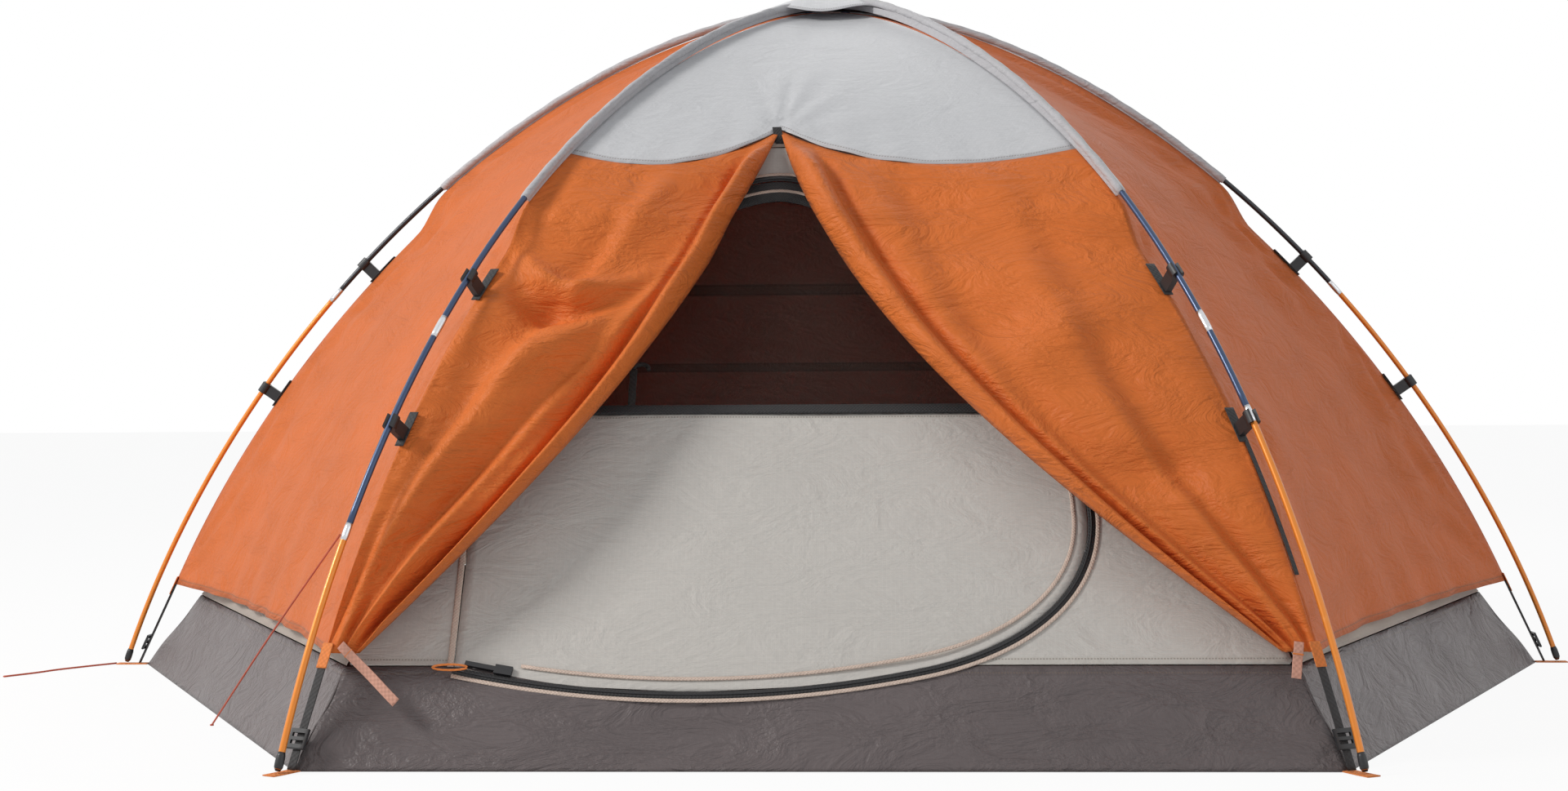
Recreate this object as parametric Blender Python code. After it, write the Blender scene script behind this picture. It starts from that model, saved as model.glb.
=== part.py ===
"""Free-standing six-footed dome tent: three crossing poles, an outer fly and an inner tent on a tub floor.

Metres, +Z up. The origin is on the ground under the crown, and the entrance faces -Y.
"""

import math

import bmesh
import bpy
import numpy as np

# Poles: two diagonal poles and one pole across the width, all bent over the crown
CROWN_HEIGHT = 1.100
DIAGONAL_FOOT_X = 0.638
DIAGONAL_FOOT_Y = 1.147
SIDE_FOOT_X = 1.194
POLE_DIAMETER = 0.0085
POLE_FOOT_LEAN = math.radians(71.5)
DIAGONAL_FOOT_REACH = 0.988
DIAGONAL_CROWN_REACH = 0.070
SIDE_FOOT_REACH = 0.624
SIDE_CROWN_REACH = 0.439
POLE_TIP_HEIGHT = 0.0065
LOWER_SECTION_TOP_LEFT = 0.281
LOWER_SECTION_TOP_RIGHT = 0.419
LOWER_SECTION_TOP_SIDE = 0.620

# Clearances between touching pieces
GAP = 0.0003
SEAM_GAP = 0.0004
SLEEVE_PLAY = 0.0004
DOOR_PLAY = 0.0005

# Pole sleeves, sewn along the upper seams of the fly
SLEEVE_WALL = 0.0030
SLEEVE_DROP_DIAGONAL = 0.383
SLEEVE_DROP_SIDE = 0.301
SLEEVE_CROWN_RADIUS = 0.080
SLEEVE_END_RUN = 0.0085

# Fly
CLOTH = 0.0015
FLY_DROP_AT_CLIPS = 0.030
FLY_BLEND_HEIGHT = 0.060
HEM_HEIGHT = 0.135
HEM_RISE = 0.014
PANEL_SAG_SHARE = 0.028
CROWN_OPENING_SHARE = 0.985
ROOF_EDGE_DROP = 0.313
ROOF_APEX_RISE = 0.052
ROOF_EDGE_DIP = 0.013
APEX_SHARE = 0.402
FLAP_FOOT_SHARE = 0.034
FLAP_BOW = 0.030
FLAP_FOOT_HEIGHT = 0.136
FLAP_BELLY = 0.012

# Inner tent
INNER_INSET_DIAGONAL = 0.029
INNER_INSET_SIDE = 0.037
INNER_LEAN = math.radians(51.8)
INNER_KNEE_DROP = 0.300
INNER_CROWN_DROP = 0.120
INNER_SHOULDER = 0.100
INNER_TOP_REACH = 0.220
INNER_ROOF_SHARES = (0.22, 0.45, 0.7)
TUB_HEIGHT = 0.116
TUB_WALL = 0.0025
INNER_CLOTH = 0.0015
WALL_EDGE_MARGIN = 0.004

# Door in the front wall: x across, and the distance up the slope of the wall from the ground
DOOR_HINGE_X = -0.445
DOOR_HINGE_FOOT = 0.140
DOOR_HINGE_TOP = 0.480
DOOR_ARC_RADIUS = 1.260
DOOR_ARC_X = -0.154
DOOR_ARC_END_X = 0.130
DOOR_RIGHT_X = 0.338
DOOR_RIGHT_UP = 0.350
DOOR_TOP_X = -0.060
DOOR_TOP_UP = 0.906
DOOR_SPLIT_UP = 0.516
DOOR_CORNER_REACH = 0.115
DOOR_SIDE_REACH = 0.260
DOOR_HINGE_REACH = 0.195
DOOR_TOP_REACH = 0.130
ZIP_TAPE_WIDTH = 0.010
ZIP_TAPE = 0.0018
SLIDER_START_X = -0.385
SLIDER_LENGTH = 0.022
SLIDER_WIDTH = 0.012
SLIDER_HEIGHT = 0.005
PULL_LENGTH = 0.038
PULL_WIDTH = 0.006

# Hook clips that hang the fly from the poles
CLIP_HEIGHTS_DIAGONAL = (0.415, 0.605)
CLIP_HEIGHTS_SIDE = (0.465, 0.672)
CLIP_WIDTH = 0.018
CLIP_WALL = 0.0040
CLIP_MOUTH = math.radians(70)
CLIP_STEM = 0.009
CLIP_SEAM_PLAY = 0.0008

# Corner webbing, its buckle and the tie at the foot of each flap
STRAP_WIDTH = 0.020
STRAP_THICKNESS = 0.0020
STRAP_TOE = 0.014
STRAP_HEEL = 0.024
BUCKLE_LENGTH = 0.024
BUCKLE_WIDTH = 0.027
BUCKLE_THICKNESS = 0.0035
BUCKLE_START = 0.026
BUCKLE_SLOT = 0.0048
BUCKLE_SLOT_WIDTH = 0.0200
BUCKLE_SLOTS = {"low": 0.30, "high": 0.68}
TIE_LENGTH_LEFT = 0.105
TIE_LENGTH_RIGHT = 0.046
TIE_WIDTH = 0.013
TIE_THICKNESS = 0.0030
TIE_STANDOFF_LEFT = 0.0026
TIE_STANDOFF_RIGHT = 0.0019
TIE_LEAN = 0.30
TIE_SLANT_LEFT = math.radians(48)
TIE_SLANT_RIGHT = math.radians(8)

# Cords
GUY_DIAMETER = 0.0025
GUY_POINTS = ((-0.5852, -1.0425, 0.2780), (-0.712, -0.889, 0.1400), (-0.832, -0.744, 0.0025))
PEG_CORD_DIAMETER = 0.0030
PEG_CORD_POINTS = (
    (-1.2098, -0.0010, 0.0018),
    (-1.240, -0.040, 0.0018),
    (-1.275, -0.090, 0.0018),
    (-1.300, -0.140, 0.0018),
    (-1.330, -0.186, 0.0018),
)

CUT_DEPTH = 0.020
ROUND_SIDES = 8
LOWER_POINTS = 9
ARCH_POINTS = 19
DENSE = 1600

FEET = {
    "front_left": (-DIAGONAL_FOOT_X, -DIAGONAL_FOOT_Y),
    "front_right": (DIAGONAL_FOOT_X, -DIAGONAL_FOOT_Y),
    "right": (SIDE_FOOT_X, 0.0),
    "rear_right": (DIAGONAL_FOOT_X, DIAGONAL_FOOT_Y),
    "rear_left": (-DIAGONAL_FOOT_X, DIAGONAL_FOOT_Y),
    "left": (-SIDE_FOOT_X, 0.0),
}
# Each pole, its two feet and its level where the three cross
POLES = {
    "across": ("left", "right", -1),
    "diagonal_a": ("front_left", "rear_right", 0),
    "diagonal_b": ("front_right", "rear_left", 1),
}
# Sectors of the fly between neighbouring poles, going round from the entrance
SECTORS = {
    "front": ("front_left", "front_right"),
    "right": ("front_right", "right"),
    "rear_right": ("right", "rear_right"),
    "back": ("rear_right", "rear_left"),
    "rear_left": ("rear_left", "left"),
    "left": ("left", "front_left"),
}


def clear_scene():
    for obj in list(bpy.data.objects):
        bpy.data.objects.remove(obj, do_unlink=True)


def material(name, colour, roughness, metallic=0.0):
    found = bpy.data.materials.get(name)
    if found:
        return found
    made = bpy.data.materials.new(name)
    made.use_nodes = True
    shader = made.node_tree.nodes["Principled BSDF"]
    shader.inputs["Base Color"].default_value = (*colour, 1.0)
    shader.inputs["Roughness"].default_value = roughness
    shader.inputs["Metallic"].default_value = metallic
    return made


def pole_orange():
    return material("anodised_orange", (0.80, 0.22, 0.02), 0.35, 0.3)


def pole_blue():
    return material("anodised_blue", (0.05, 0.10, 0.20), 0.35, 0.6)


def fly_orange():
    return material("orange_nylon", (0.72, 0.25, 0.08), 0.55)


def roof_white():
    return material("white_nylon", (0.72, 0.73, 0.76), 0.55)


def inner_cream():
    return material("cream_nylon", (0.62, 0.59, 0.55), 0.65)


def tub_grey():
    return material("grey_coated_nylon", (0.14, 0.12, 0.12), 0.50)


def black_plastic():
    return material("black_acetal", (0.015, 0.015, 0.017), 0.45)


def black_mesh():
    return material("black_netting", (0.03, 0.025, 0.02), 0.8)


def webbing_orange():
    return material("orange_webbing", (0.80, 0.25, 0.05), 0.7)


def tie_tan():
    return material("tan_webbing", (0.62, 0.33, 0.24), 0.7)


def red_cord():
    return material("red_cord", (0.60, 0.10, 0.06), 0.6)


def solid(name, points, faces, finish, pivot=(0.0, 0.0, 0.0), smooth=0.0):
    """One closed body from world points, with its origin at the pivot."""
    mesh = bpy.data.meshes.new(name)
    local = np.asarray(points, float) - np.asarray(pivot, float)
    corners = [local[list(face)] for face in faces]
    volume = sum(
        np.dot(loop[0], np.cross(loop[i], loop[i + 1]))
        for loop in corners
        for i in range(1, len(loop) - 1)
    )
    if volume < 0:
        faces = [[face[0], *reversed(face[1:])] for face in faces]
    mesh.from_pydata(local.tolist(), [], faces)
    mesh.materials.append(finish)
    obj = bpy.data.objects.new(name, mesh)
    obj.location = pivot
    bpy.context.scene.collection.objects.link(obj)
    if smooth:
        mesh.shade_smooth()
        mesh.set_sharp_from_angle(angle=smooth)
    return obj


def slab(name, outer, inner, finish, smooth=math.radians(50)):
    """A thin closed sheet between two grids of points of one size."""
    rows, columns = outer.shape[:2]
    count = rows * columns
    points = np.concatenate([outer.reshape(-1, 3), inner.reshape(-1, 3)])
    faces = []
    for i in range(rows - 1):
        for j in range(columns - 1):
            a = i * columns + j
            b = a + columns
            faces.append([a, b, b + 1, a + 1])
            faces.append([count + a, count + a + 1, count + b + 1, count + b])
    rim = [i * columns for i in range(rows)]
    rim += [(rows - 1) * columns + j for j in range(1, columns)]
    rim += [i * columns + columns - 1 for i in range(rows - 2, -1, -1)]
    rim += [j for j in range(columns - 2, 0, -1)]
    for a, b in zip(rim, rim[1:] + rim[:1]):
        faces.append([b, a, count + a, count + b])
    return solid(name, points, faces, finish, smooth=smooth)


def extruded(name, outline, place, low, high, finish, pivot=(0.0, 0.0, 0.0), smooth=0.0):
    """A flat outline carried from one height to another, where place turns (x, y, height) into the world."""
    outline = np.asarray(outline, float)
    count = len(outline)
    bottom = place(outline[:, 0], outline[:, 1], np.full(count, low))
    top = place(outline[:, 0], outline[:, 1], np.full(count, high))
    sides = [[i, (i + 1) % count, count + (i + 1) % count, count + i] for i in range(count)]
    caps = [list(range(count))[::-1], list(range(count, 2 * count))]
    return solid(name, np.concatenate([bottom, top]), sides + caps, finish, pivot, smooth)


def tube(name, path, radius, finish, bore=0.0):
    """A round bar along a path, or a sleeve when it has a bore."""
    path = np.asarray(path, float)
    along = np.gradient(path, axis=0)
    along /= np.linalg.norm(along, axis=1, keepdims=True)
    side = np.cross(along, np.array([0.0, 0.0, 1.0]))
    side = np.mean(side, axis=0)
    side /= np.linalg.norm(side)
    up = np.cross(side, along)
    up /= np.linalg.norm(up, axis=1, keepdims=True)
    angles = np.arange(ROUND_SIDES) * 2 * math.pi / ROUND_SIDES
    ring = side[None, None] * np.cos(angles)[None, :, None] + up[:, None] * np.sin(angles)[None, :, None]
    rings = [path[:, None] + ring * radius]
    if bore:
        rings.append(path[:, None] + ring * bore)
    steps = len(path)
    points = np.concatenate([grid.reshape(-1, 3) for grid in rings])
    faces = []
    for layer in range(len(rings)):
        base = layer * steps * ROUND_SIDES
        for i in range(steps - 1):
            for j in range(ROUND_SIDES):
                a = base + i * ROUND_SIDES + j
                b = base + i * ROUND_SIDES + (j + 1) % ROUND_SIDES
                face = [a, b, b + ROUND_SIDES, a + ROUND_SIDES]
                faces.append(face if layer == 0 else face[::-1])
    last = (steps - 1) * ROUND_SIDES
    if bore:
        base = steps * ROUND_SIDES
        for j in range(ROUND_SIDES):
            k = (j + 1) % ROUND_SIDES
            faces.append([k, j, base + j, base + k])
            faces.append([last + j, last + k, base + last + k, base + last + j])
    else:
        faces.append(list(range(ROUND_SIDES))[::-1])
        faces.append(list(range(last, last + ROUND_SIDES)))
    return solid(name, points, faces, finish, smooth=math.radians(60))


def cut(obj, cutter):
    modifier = obj.modifiers.new("cut_" + cutter.name, "BOOLEAN")
    modifier.operation = "DIFFERENCE"
    modifier.object = cutter
    cutter.hide_render = True
    cutter.display_type = "WIRE"


def bezier(p0, p1, p2, p3, t):
    t = np.asarray(t)[:, None]
    p0, p1, p2, p3 = (np.array(p, float) for p in (p0, p1, p2, p3))
    return (1 - t) ** 3 * p0 + 3 * (1 - t) ** 2 * t * p1 + 3 * (1 - t) * t**2 * p2 + t**3 * p3


def foot_radius(foot):
    return math.hypot(*FEET[foot])


def outward(foot):
    """Unit vector on the ground from the middle to a foot."""
    return np.array([*FEET[foot], 0.0]) / foot_radius(foot)


def crosswise(foot):
    return np.cross([0.0, 0.0, 1.0], outward(foot))


def is_side(foot):
    return foot in ("left", "right")


def level_of(foot):
    return next(level for a, b, level in POLES.values() if foot in (a, b))


def bend(foot, level):
    """Half a pole's centreline as (distance from the middle, height), from the foot to the crown."""
    radius = foot_radius(foot)
    crown = CROWN_HEIGHT + level * (POLE_DIAMETER + GAP)
    reach = SIDE_FOOT_REACH if is_side(foot) else DIAGONAL_FOOT_REACH
    crown_reach = SIDE_CROWN_REACH if is_side(foot) else DIAGONAL_CROWN_REACH
    knee = (radius - reach * math.cos(POLE_FOOT_LEAN), reach * math.sin(POLE_FOOT_LEAN))
    return bezier((radius, 0.0), knee, (crown_reach, crown), (0.0, crown), np.linspace(0, 1, DENSE))


def inset(curve, distance):
    """The same half curve moved towards the inside of the tent by a distance."""
    slope = np.gradient(curve, axis=0)
    slope /= np.linalg.norm(slope, axis=1, keepdims=True)
    return curve + np.column_stack([-slope[:, 1], slope[:, 0]]) * np.asarray(distance).reshape(-1, 1)


def in_plane(foot, curve):
    """World points of (distance, height) pairs in a pole's plane."""
    return curve[:, :1] * outward(foot) + curve[:, 1:] * np.array([0.0, 0.0, 1.0])


def between_heights(curve, low, high, count):
    """Evenly spaced points of a half curve from one height to another."""
    inside = curve[(curve[:, 1] > low) & (curve[:, 1] < high)]
    ends = [[np.interp(z, curve[:, 1], curve[:, 0]), z] for z in (low, high)]
    kept = np.concatenate([ends[:1], inside, ends[1:]])
    length = np.concatenate([[0], np.cumsum(np.linalg.norm(np.diff(kept, axis=0), axis=1))])
    at = np.linspace(0, length[-1], count)
    return np.column_stack([np.interp(at, length, kept[:, k]) for k in (0, 1)])


def lower_section_top(foot):
    if is_side(foot):
        return LOWER_SECTION_TOP_SIDE
    return LOWER_SECTION_TOP_LEFT if foot in ("front_left", "rear_right") else LOWER_SECTION_TOP_RIGHT


def sleeve_end(foot):
    return CROWN_HEIGHT - (SLEEVE_DROP_SIDE if is_side(foot) else SLEEVE_DROP_DIAGONAL)


def fly_corner(foot, depth):
    """The fly's seam under a pole, close under the sleeve and lower along the clips."""
    curve = bend(foot, -1)
    close = POLE_DIAMETER / 2 + SLEEVE_PLAY + SLEEVE_WALL + GAP
    rise = np.clip((sleeve_end(foot) - curve[:, 1]) / FLY_BLEND_HEIGHT, 0, 1)
    eased = rise * rise * (3 - 2 * rise)
    return inset(curve, close + (FLY_DROP_AT_CLIPS - close) * eased + depth)


def turn_of(height, crown):
    return np.arcsin(np.clip(np.asarray(height, float) / crown, 0, 1)) / (math.pi / 2)


def corner_at(foot, turn, depth):
    """Point of the fly's seam at a share of the quarter turn from the ground to the crown."""
    curve = fly_corner(foot, depth)
    crown = curve[-1, 1]
    turns = turn_of(curve[:, 1], crown)
    radius = np.interp(turn, turns, curve[:, 0])
    height = crown * np.sin(np.asarray(turn) * math.pi / 2)
    return radius[..., None] * outward(foot) + height[..., None] * np.array([0.0, 0.0, 1.0])


def fly_point(sector, share, turn, depth, belly=0.0):
    """Point of a fly panel: share runs between its two poles, and the middle is drawn in a little."""
    share, turn = np.broadcast_arrays(np.asarray(share, float), np.asarray(turn, float))
    first, second = SECTORS[sector]
    a = corner_at(first, turn, depth)
    b = corner_at(second, turn, depth)
    width = np.linalg.norm(b - a, axis=-1, keepdims=True)
    a, b = a + (b - a) / width * SEAM_GAP / 2, b - (b - a) / width * SEAM_GAP / 2
    middle = outward(first) + outward(second)
    middle /= np.linalg.norm(middle)
    up = np.sin(turn * math.pi / 2)[..., None]
    outside = middle * np.sqrt(1 - up**2) + np.array([0.0, 0.0, 1.0]) * up
    drawn = PANEL_SAG_SHARE * width[..., 0] * 4 * share * (1 - share) - belly
    return a + (b - a) * share[..., None] - outside * drawn[..., None]


def fly_crown(depth):
    return fly_corner("left", depth)[-1, 1]


def hem_height(share):
    return HEM_HEIGHT + HEM_RISE * 4 * share * (1 - share)


def roof_edge_height(share):
    """Lower edge of the front roof panel, scalloped up to the entrance's apex."""
    corner = CROWN_HEIGHT - ROOF_EDGE_DROP
    reach = np.where(share < APEX_SHARE, share / APEX_SHARE, (1 - share) / (1 - APEX_SHARE))
    return corner + ROOF_APEX_RISE * reach**3 - ROOF_EDGE_DIP * np.sin(math.pi * reach)


def sheet_between(name, sector, shares, low_heights, high_turn, rows, finish):
    """A fly panel from a lower edge, given as a height for each share, up to one turn."""
    low = turn_of(low_heights, fly_crown(0.0))
    steps = np.linspace(0, 1, rows)[:, None]
    turns = low + (high_turn - low) * steps
    grid = np.broadcast_to(shares, turns.shape)
    outer = fly_point(sector, grid, turns, 0.0)
    inner = fly_point(sector, grid, turns, CLOTH)
    return slab(name, outer, inner, finish)


def front_shares(half_count):
    left = np.linspace(0, APEX_SHARE, half_count)
    right = np.linspace(APEX_SHARE, 1, half_count)
    return np.concatenate([left, right[1:]])


def fly_panels():
    for sector in ("left", "right", "back", "rear_left", "rear_right"):
        shares = np.linspace(0, 1, 7)
        sheet_between(
            "fly_" + sector, sector, shares, hem_height(shares), CROWN_OPENING_SHARE, 15, fly_orange()
        )
    shares = front_shares(7)
    edge = roof_edge_height(shares)
    sheet_between("fly_roof_front", "front", shares, edge, CROWN_OPENING_SHARE, 6, roof_white())


def door_flap(name, mirrored):
    """Entrance flap: sewn along its pole and the roof's edge, with a free edge from the apex to the foot."""
    across = np.linspace(0, 1, 7)[None, :]
    down = np.linspace(0, 1, 14)[:, None]
    apex = 1 - APEX_SHARE if mirrored else APEX_SHARE
    roof = roof_edge_height(1 - across * apex if mirrored else across * apex) - SEAM_GAP
    height = roof + (FLAP_FOOT_HEIGHT - roof) * down
    free = apex + (FLAP_FOOT_SHARE - apex) * down + FLAP_BOW * np.sin(math.pi * down)
    share = across * (free - SEAM_GAP * (1 - down))
    if mirrored:
        share = 1 - share
    turn = turn_of(height, fly_crown(0.0))
    belly = FLAP_BELLY * np.sin(math.pi * across) ** 2 * np.sin(math.pi * down)
    outer = fly_point("front", share, turn, 0.0, belly)
    inner = fly_point("front", share, turn, CLOTH, belly)
    slab(name, outer, inner, fly_orange())


def foot_half(foot):
    """Centreline of a pole's lower section, as straight lengths."""
    level = level_of(foot)
    return between_heights(bend(foot, level), POLE_TIP_HEIGHT, lower_section_top(foot) - GAP / 2, LOWER_POINTS)


def arch_half(foot):
    """Centreline of the upper section from its joint to the crown, as straight lengths."""
    curve = bend(foot, level_of(foot))
    return between_heights(curve, lower_section_top(foot) + GAP, curve[-1, 1], ARCH_POINTS)


def poles():
    for name, (first, second, _) in POLES.items():
        for foot in (first, second):
            lower = in_plane(foot, foot_half(foot))
            tube("pole_foot_" + foot, lower, POLE_DIAMETER / 2, pole_orange())
        ends = [in_plane(foot, arch_half(foot)) for foot in (first, second)]
        path = np.concatenate([ends[0], ends[1][::-1][1:]])
        tube("pole_arch_" + name, path, POLE_DIAMETER / 2, pole_blue())


def sleeves():
    bore = POLE_DIAMETER / 2 + SLEEVE_PLAY
    for foot in FEET:
        arch = arch_half(foot)
        low = sleeve_end(foot)
        start = [np.interp(low, arch[:, 1], arch[:, 0]), low]
        end = [SLEEVE_CROWN_RADIUS, np.interp(-SLEEVE_CROWN_RADIUS, -arch[:, 0], arch[:, 1])]
        inside = (arch[:, 1] > low + SLEEVE_END_RUN) & (arch[:, 0] > SLEEVE_CROWN_RADIUS + SLEEVE_END_RUN)
        path = np.concatenate([[start], arch[inside], [end]])
        tube("sleeve_" + foot, in_plane(foot, path), bore + SLEEVE_WALL, roof_white(), bore)


def clip(name, foot, height):
    """Hook round the pole with a stem down to the fly's seam; it swivels on the pole."""
    line = np.concatenate([foot_half(foot), arch_half(foot)])
    at = int(np.searchsorted(line[:, 1], height))
    along = line[at] - line[at - 1]
    along /= np.linalg.norm(along)
    inward = np.array([-along[1], along[0]])
    on_pole = line[at - 1] + along * (height - line[at - 1, 1]) / along[1]
    centre = in_plane(foot, on_pole[None])[0]
    seam = in_plane(foot, fly_corner(foot, 0.0))
    reach = np.linalg.norm(seam - centre, axis=1).min() - CLIP_SEAM_PLAY
    axis_u = in_plane(foot, inward[None])[0]
    axis_v = crosswise(foot)
    axis_w = in_plane(foot, along[None])[0]
    bore = POLE_DIAMETER / 2 + SLEEVE_PLAY
    ring = bore + CLIP_WALL
    start = math.asin(CLIP_STEM / 2 / ring)
    end = math.pi - CLIP_MOUTH / 2
    outside = [(ring * math.cos(a), ring * math.sin(a)) for a in np.linspace(start, end, 8)]
    inside = [(bore * math.cos(a), bore * math.sin(a)) for a in np.linspace(end, -end, 13)]
    back = [(ring * math.cos(a), ring * math.sin(a)) for a in np.linspace(-end, -start, 8)]
    tip = math.asin(CLIP_STEM / 2 / reach)
    stem = [(reach * math.cos(a), reach * math.sin(a)) for a in (-tip, 0.0, tip)]
    outline = outside + inside + back + stem

    def place(u, v, w):
        return centre + u[:, None] * axis_u + v[:, None] * axis_v + w[:, None] * axis_w

    extruded(
        name, outline, place, -CLIP_WIDTH / 2, CLIP_WIDTH / 2, black_plastic(), centre, math.radians(50)
    )


def clips():
    for foot in FEET:
        heights = CLIP_HEIGHTS_SIDE if is_side(foot) else CLIP_HEIGHTS_DIAGONAL
        for label, height in zip(("low", "high"), heights):
            clip(f"clip_{foot}_{label}", foot, height)


def inner_radius(foot, height):
    gone = INNER_INSET_SIDE if is_side(foot) else INNER_INSET_DIAGONAL
    return foot_radius(foot) - gone - np.asarray(height) / math.tan(INNER_LEAN)


def strap_line(foot):
    """Foot and head of the webbing's slanting run in the pole's plane."""
    heel = np.array([foot_radius(foot) - STRAP_HEEL, STRAP_THICKNESS * 1.5])
    seam = fly_corner(foot, CLOTH / 2)
    at = int(np.argmin(abs(seam[:, 1] - HEM_HEIGHT)))
    head = seam[at] - np.array([0.0, STRAP_THICKNESS / 2])
    return heel, head


def corner_strap(foot):
    """Webbing from the tub's corner to under the pole's tip, with a strap up to the fly's hem."""
    heel, head = strap_line(foot)
    run = (head - heel) / np.linalg.norm(head - heel)
    half = np.array([run[1], -run[0]]) * STRAP_THICKNESS / 2
    tub = inner_radius(foot, STRAP_THICKNESS) + GAP / math.sin(INNER_LEAN)
    toe = foot_radius(foot) + STRAP_TOE
    fork = heel + half + run * (STRAP_THICKNESS - (heel + half)[1]) / run[1]
    crotch = heel - half + run * (STRAP_THICKNESS - (heel - half)[1]) / run[1]
    outline = [
        (tub + STRAP_THICKNESS / math.tan(INNER_LEAN), 0.0),
        (toe, 0.0),
        (toe, STRAP_THICKNESS),
        tuple(fork),
        tuple(head + half),
        tuple(head - half),
        tuple(crotch),
        (tub, STRAP_THICKNESS),
    ]

    def place(u, v, w):
        return in_plane(foot, np.column_stack([u, v])) + w[:, None] * crosswise(foot)

    extruded("corner_strap_" + foot, outline, place, -STRAP_WIDTH / 2, STRAP_WIDTH / 2, webbing_orange())


def buckle(foot):
    """Ladder buckle on the strap's outer side; it tilts on its lower bar to let the strap slip."""
    heel, head = strap_line(foot)
    run = (head - heel) / np.linalg.norm(head - heel)
    face = np.array([run[1], -run[0]])
    pivot_flat = heel + run * BUCKLE_START + face * (STRAP_THICKNESS / 2 + GAP + BUCKLE_THICKNESS / 2)
    pivot = in_plane(foot, pivot_flat[None])[0]
    axis_u = crosswise(foot)
    axis_v = in_plane(foot, run[None])[0]
    axis_w = in_plane(foot, face[None])[0]

    def place(u, v, w):
        return pivot + u[:, None] * axis_u + v[:, None] * axis_v + w[:, None] * axis_w

    half = BUCKLE_THICKNESS / 2
    lower = [
        (half * math.sin(a), half * math.cos(a)) for a in np.linspace(math.pi, 2 * math.pi, 5)
    ]
    side = [(v, w) for v, w in lower] + [(BUCKLE_LENGTH, half), (BUCKLE_LENGTH, -half)]

    def place_side(v, w, u):
        return place(u, v, w)

    plate = extruded(
        "buckle_" + foot, side, place_side, -BUCKLE_WIDTH / 2, BUCKLE_WIDTH / 2, black_plastic(), pivot
    )
    for label, share in BUCKLE_SLOTS.items():
        low = BUCKLE_LENGTH * share - BUCKLE_SLOT / 2
        high = BUCKLE_LENGTH * share + BUCKLE_SLOT / 2
        wide = BUCKLE_SLOT_WIDTH / 2
        window = [(-wide, low), (wide, low), (wide, high), (-wide, high)]
        slot = extruded(
            f"slot_{label}_{foot}", window, place, -BUCKLE_THICKNESS, BUCKLE_THICKNESS, black_plastic()
        )
        cut(plate, slot)


def inner_plan(foot, height):
    """World point on the inner tent's corner line under a pole, up to the knee."""
    return in_plane(foot, np.array([[float(inner_radius(foot, height)), height]]))[0]


def front_frame():
    """Foot of the front wall's plane on the ground, its up-slope direction and its outward normal."""
    low = inner_plan("front_left", 0.0)
    high = inner_plan("front_left", 0.5)
    up = np.array([0.0, high[1] - low[1], high[2] - low[2]])
    up /= np.linalg.norm(up)
    normal = np.array([0.0, -up[2], up[1]])
    return np.array([0.0, low[1], 0.0]), up, normal


def on_front(x, up, out):
    start, slope, normal = front_frame()
    across = np.array([1.0, 0.0, 0.0])
    return start + x[:, None] * across + up[:, None] * slope + out[:, None] * normal


def arc_centre_up():
    return DOOR_HINGE_FOOT + math.sqrt(DOOR_ARC_RADIUS**2 - (DOOR_HINGE_X - DOOR_ARC_X) ** 2)


def arc_up(x):
    return arc_centre_up() - np.sqrt(DOOR_ARC_RADIUS**2 - (np.asarray(x) - DOOR_ARC_X) ** 2)


def door_outline():
    """Closed outline of the door from its hinge's foot: bottom arc, rounded corner, leaning side and arched top."""
    bottom_x = np.linspace(DOOR_HINGE_X, DOOR_ARC_END_X, 13)
    bottom = np.column_stack([bottom_x, arc_up(bottom_x)])
    tilt = math.asin((DOOR_ARC_END_X - DOOR_ARC_X) / DOOR_ARC_RADIUS)
    leave = bottom[-1] + DOOR_CORNER_REACH * np.array([math.cos(tilt), math.sin(tilt)])
    right = (DOOR_RIGHT_X, DOOR_RIGHT_UP)
    top = (DOOR_TOP_X, DOOR_TOP_UP)
    hinge_top = (DOOR_HINGE_X, DOOR_HINGE_TOP)
    below_right = (DOOR_RIGHT_X, DOOR_RIGHT_UP - DOOR_CORNER_REACH)
    above_right = (DOOR_RIGHT_X, DOOR_RIGHT_UP + DOOR_SIDE_REACH)
    above_hinge = (DOOR_HINGE_X, DOOR_HINGE_TOP + DOOR_HINGE_REACH)
    steps = np.linspace(0, 1, 10)[1:]
    corner = bezier(bottom[-1], leave, below_right, right, steps)
    side = bezier(right, above_right, (DOOR_TOP_X + DOOR_TOP_REACH, DOOR_TOP_UP), top, steps)
    arch = bezier(top, (DOOR_TOP_X - DOOR_TOP_REACH, DOOR_TOP_UP), above_hinge, hinge_top, steps)
    return np.concatenate([bottom, corner, side, arch])


def grown(outline, amount, closed=True):
    """The outline moved outwards by an amount, with its corners mitred."""
    before = np.roll(outline, 1, axis=0)
    after = np.roll(outline, -1, axis=0)
    first = outline - before
    second = after - outline
    if not closed:
        first[0] = second[0]
        second[-1] = first[-1]
    first /= np.linalg.norm(first, axis=1, keepdims=True)
    second /= np.linalg.norm(second, axis=1, keepdims=True)
    first = np.column_stack([first[:, 1], -first[:, 0]])
    second = np.column_stack([second[:, 1], -second[:, 0]])
    mitre = first + second
    mitre /= np.sum(mitre * second, axis=1, keepdims=True)
    return outline + mitre * amount


def crossing(a, b, up):
    share = (up - a[1]) / (b[1] - a[1])
    return a + (b - a) * share


def split_outline(outline, up, keep_low):
    """The part of a closed outline below or above one level."""
    kept = []
    for a, b in zip(outline, np.roll(outline, -1, axis=0)):
        if (a[1] <= up) == keep_low:
            kept.append(a)
        if (a[1] <= up) != (b[1] <= up):
            kept.append(crossing(a, b, up))
    return np.array(kept)


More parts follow.
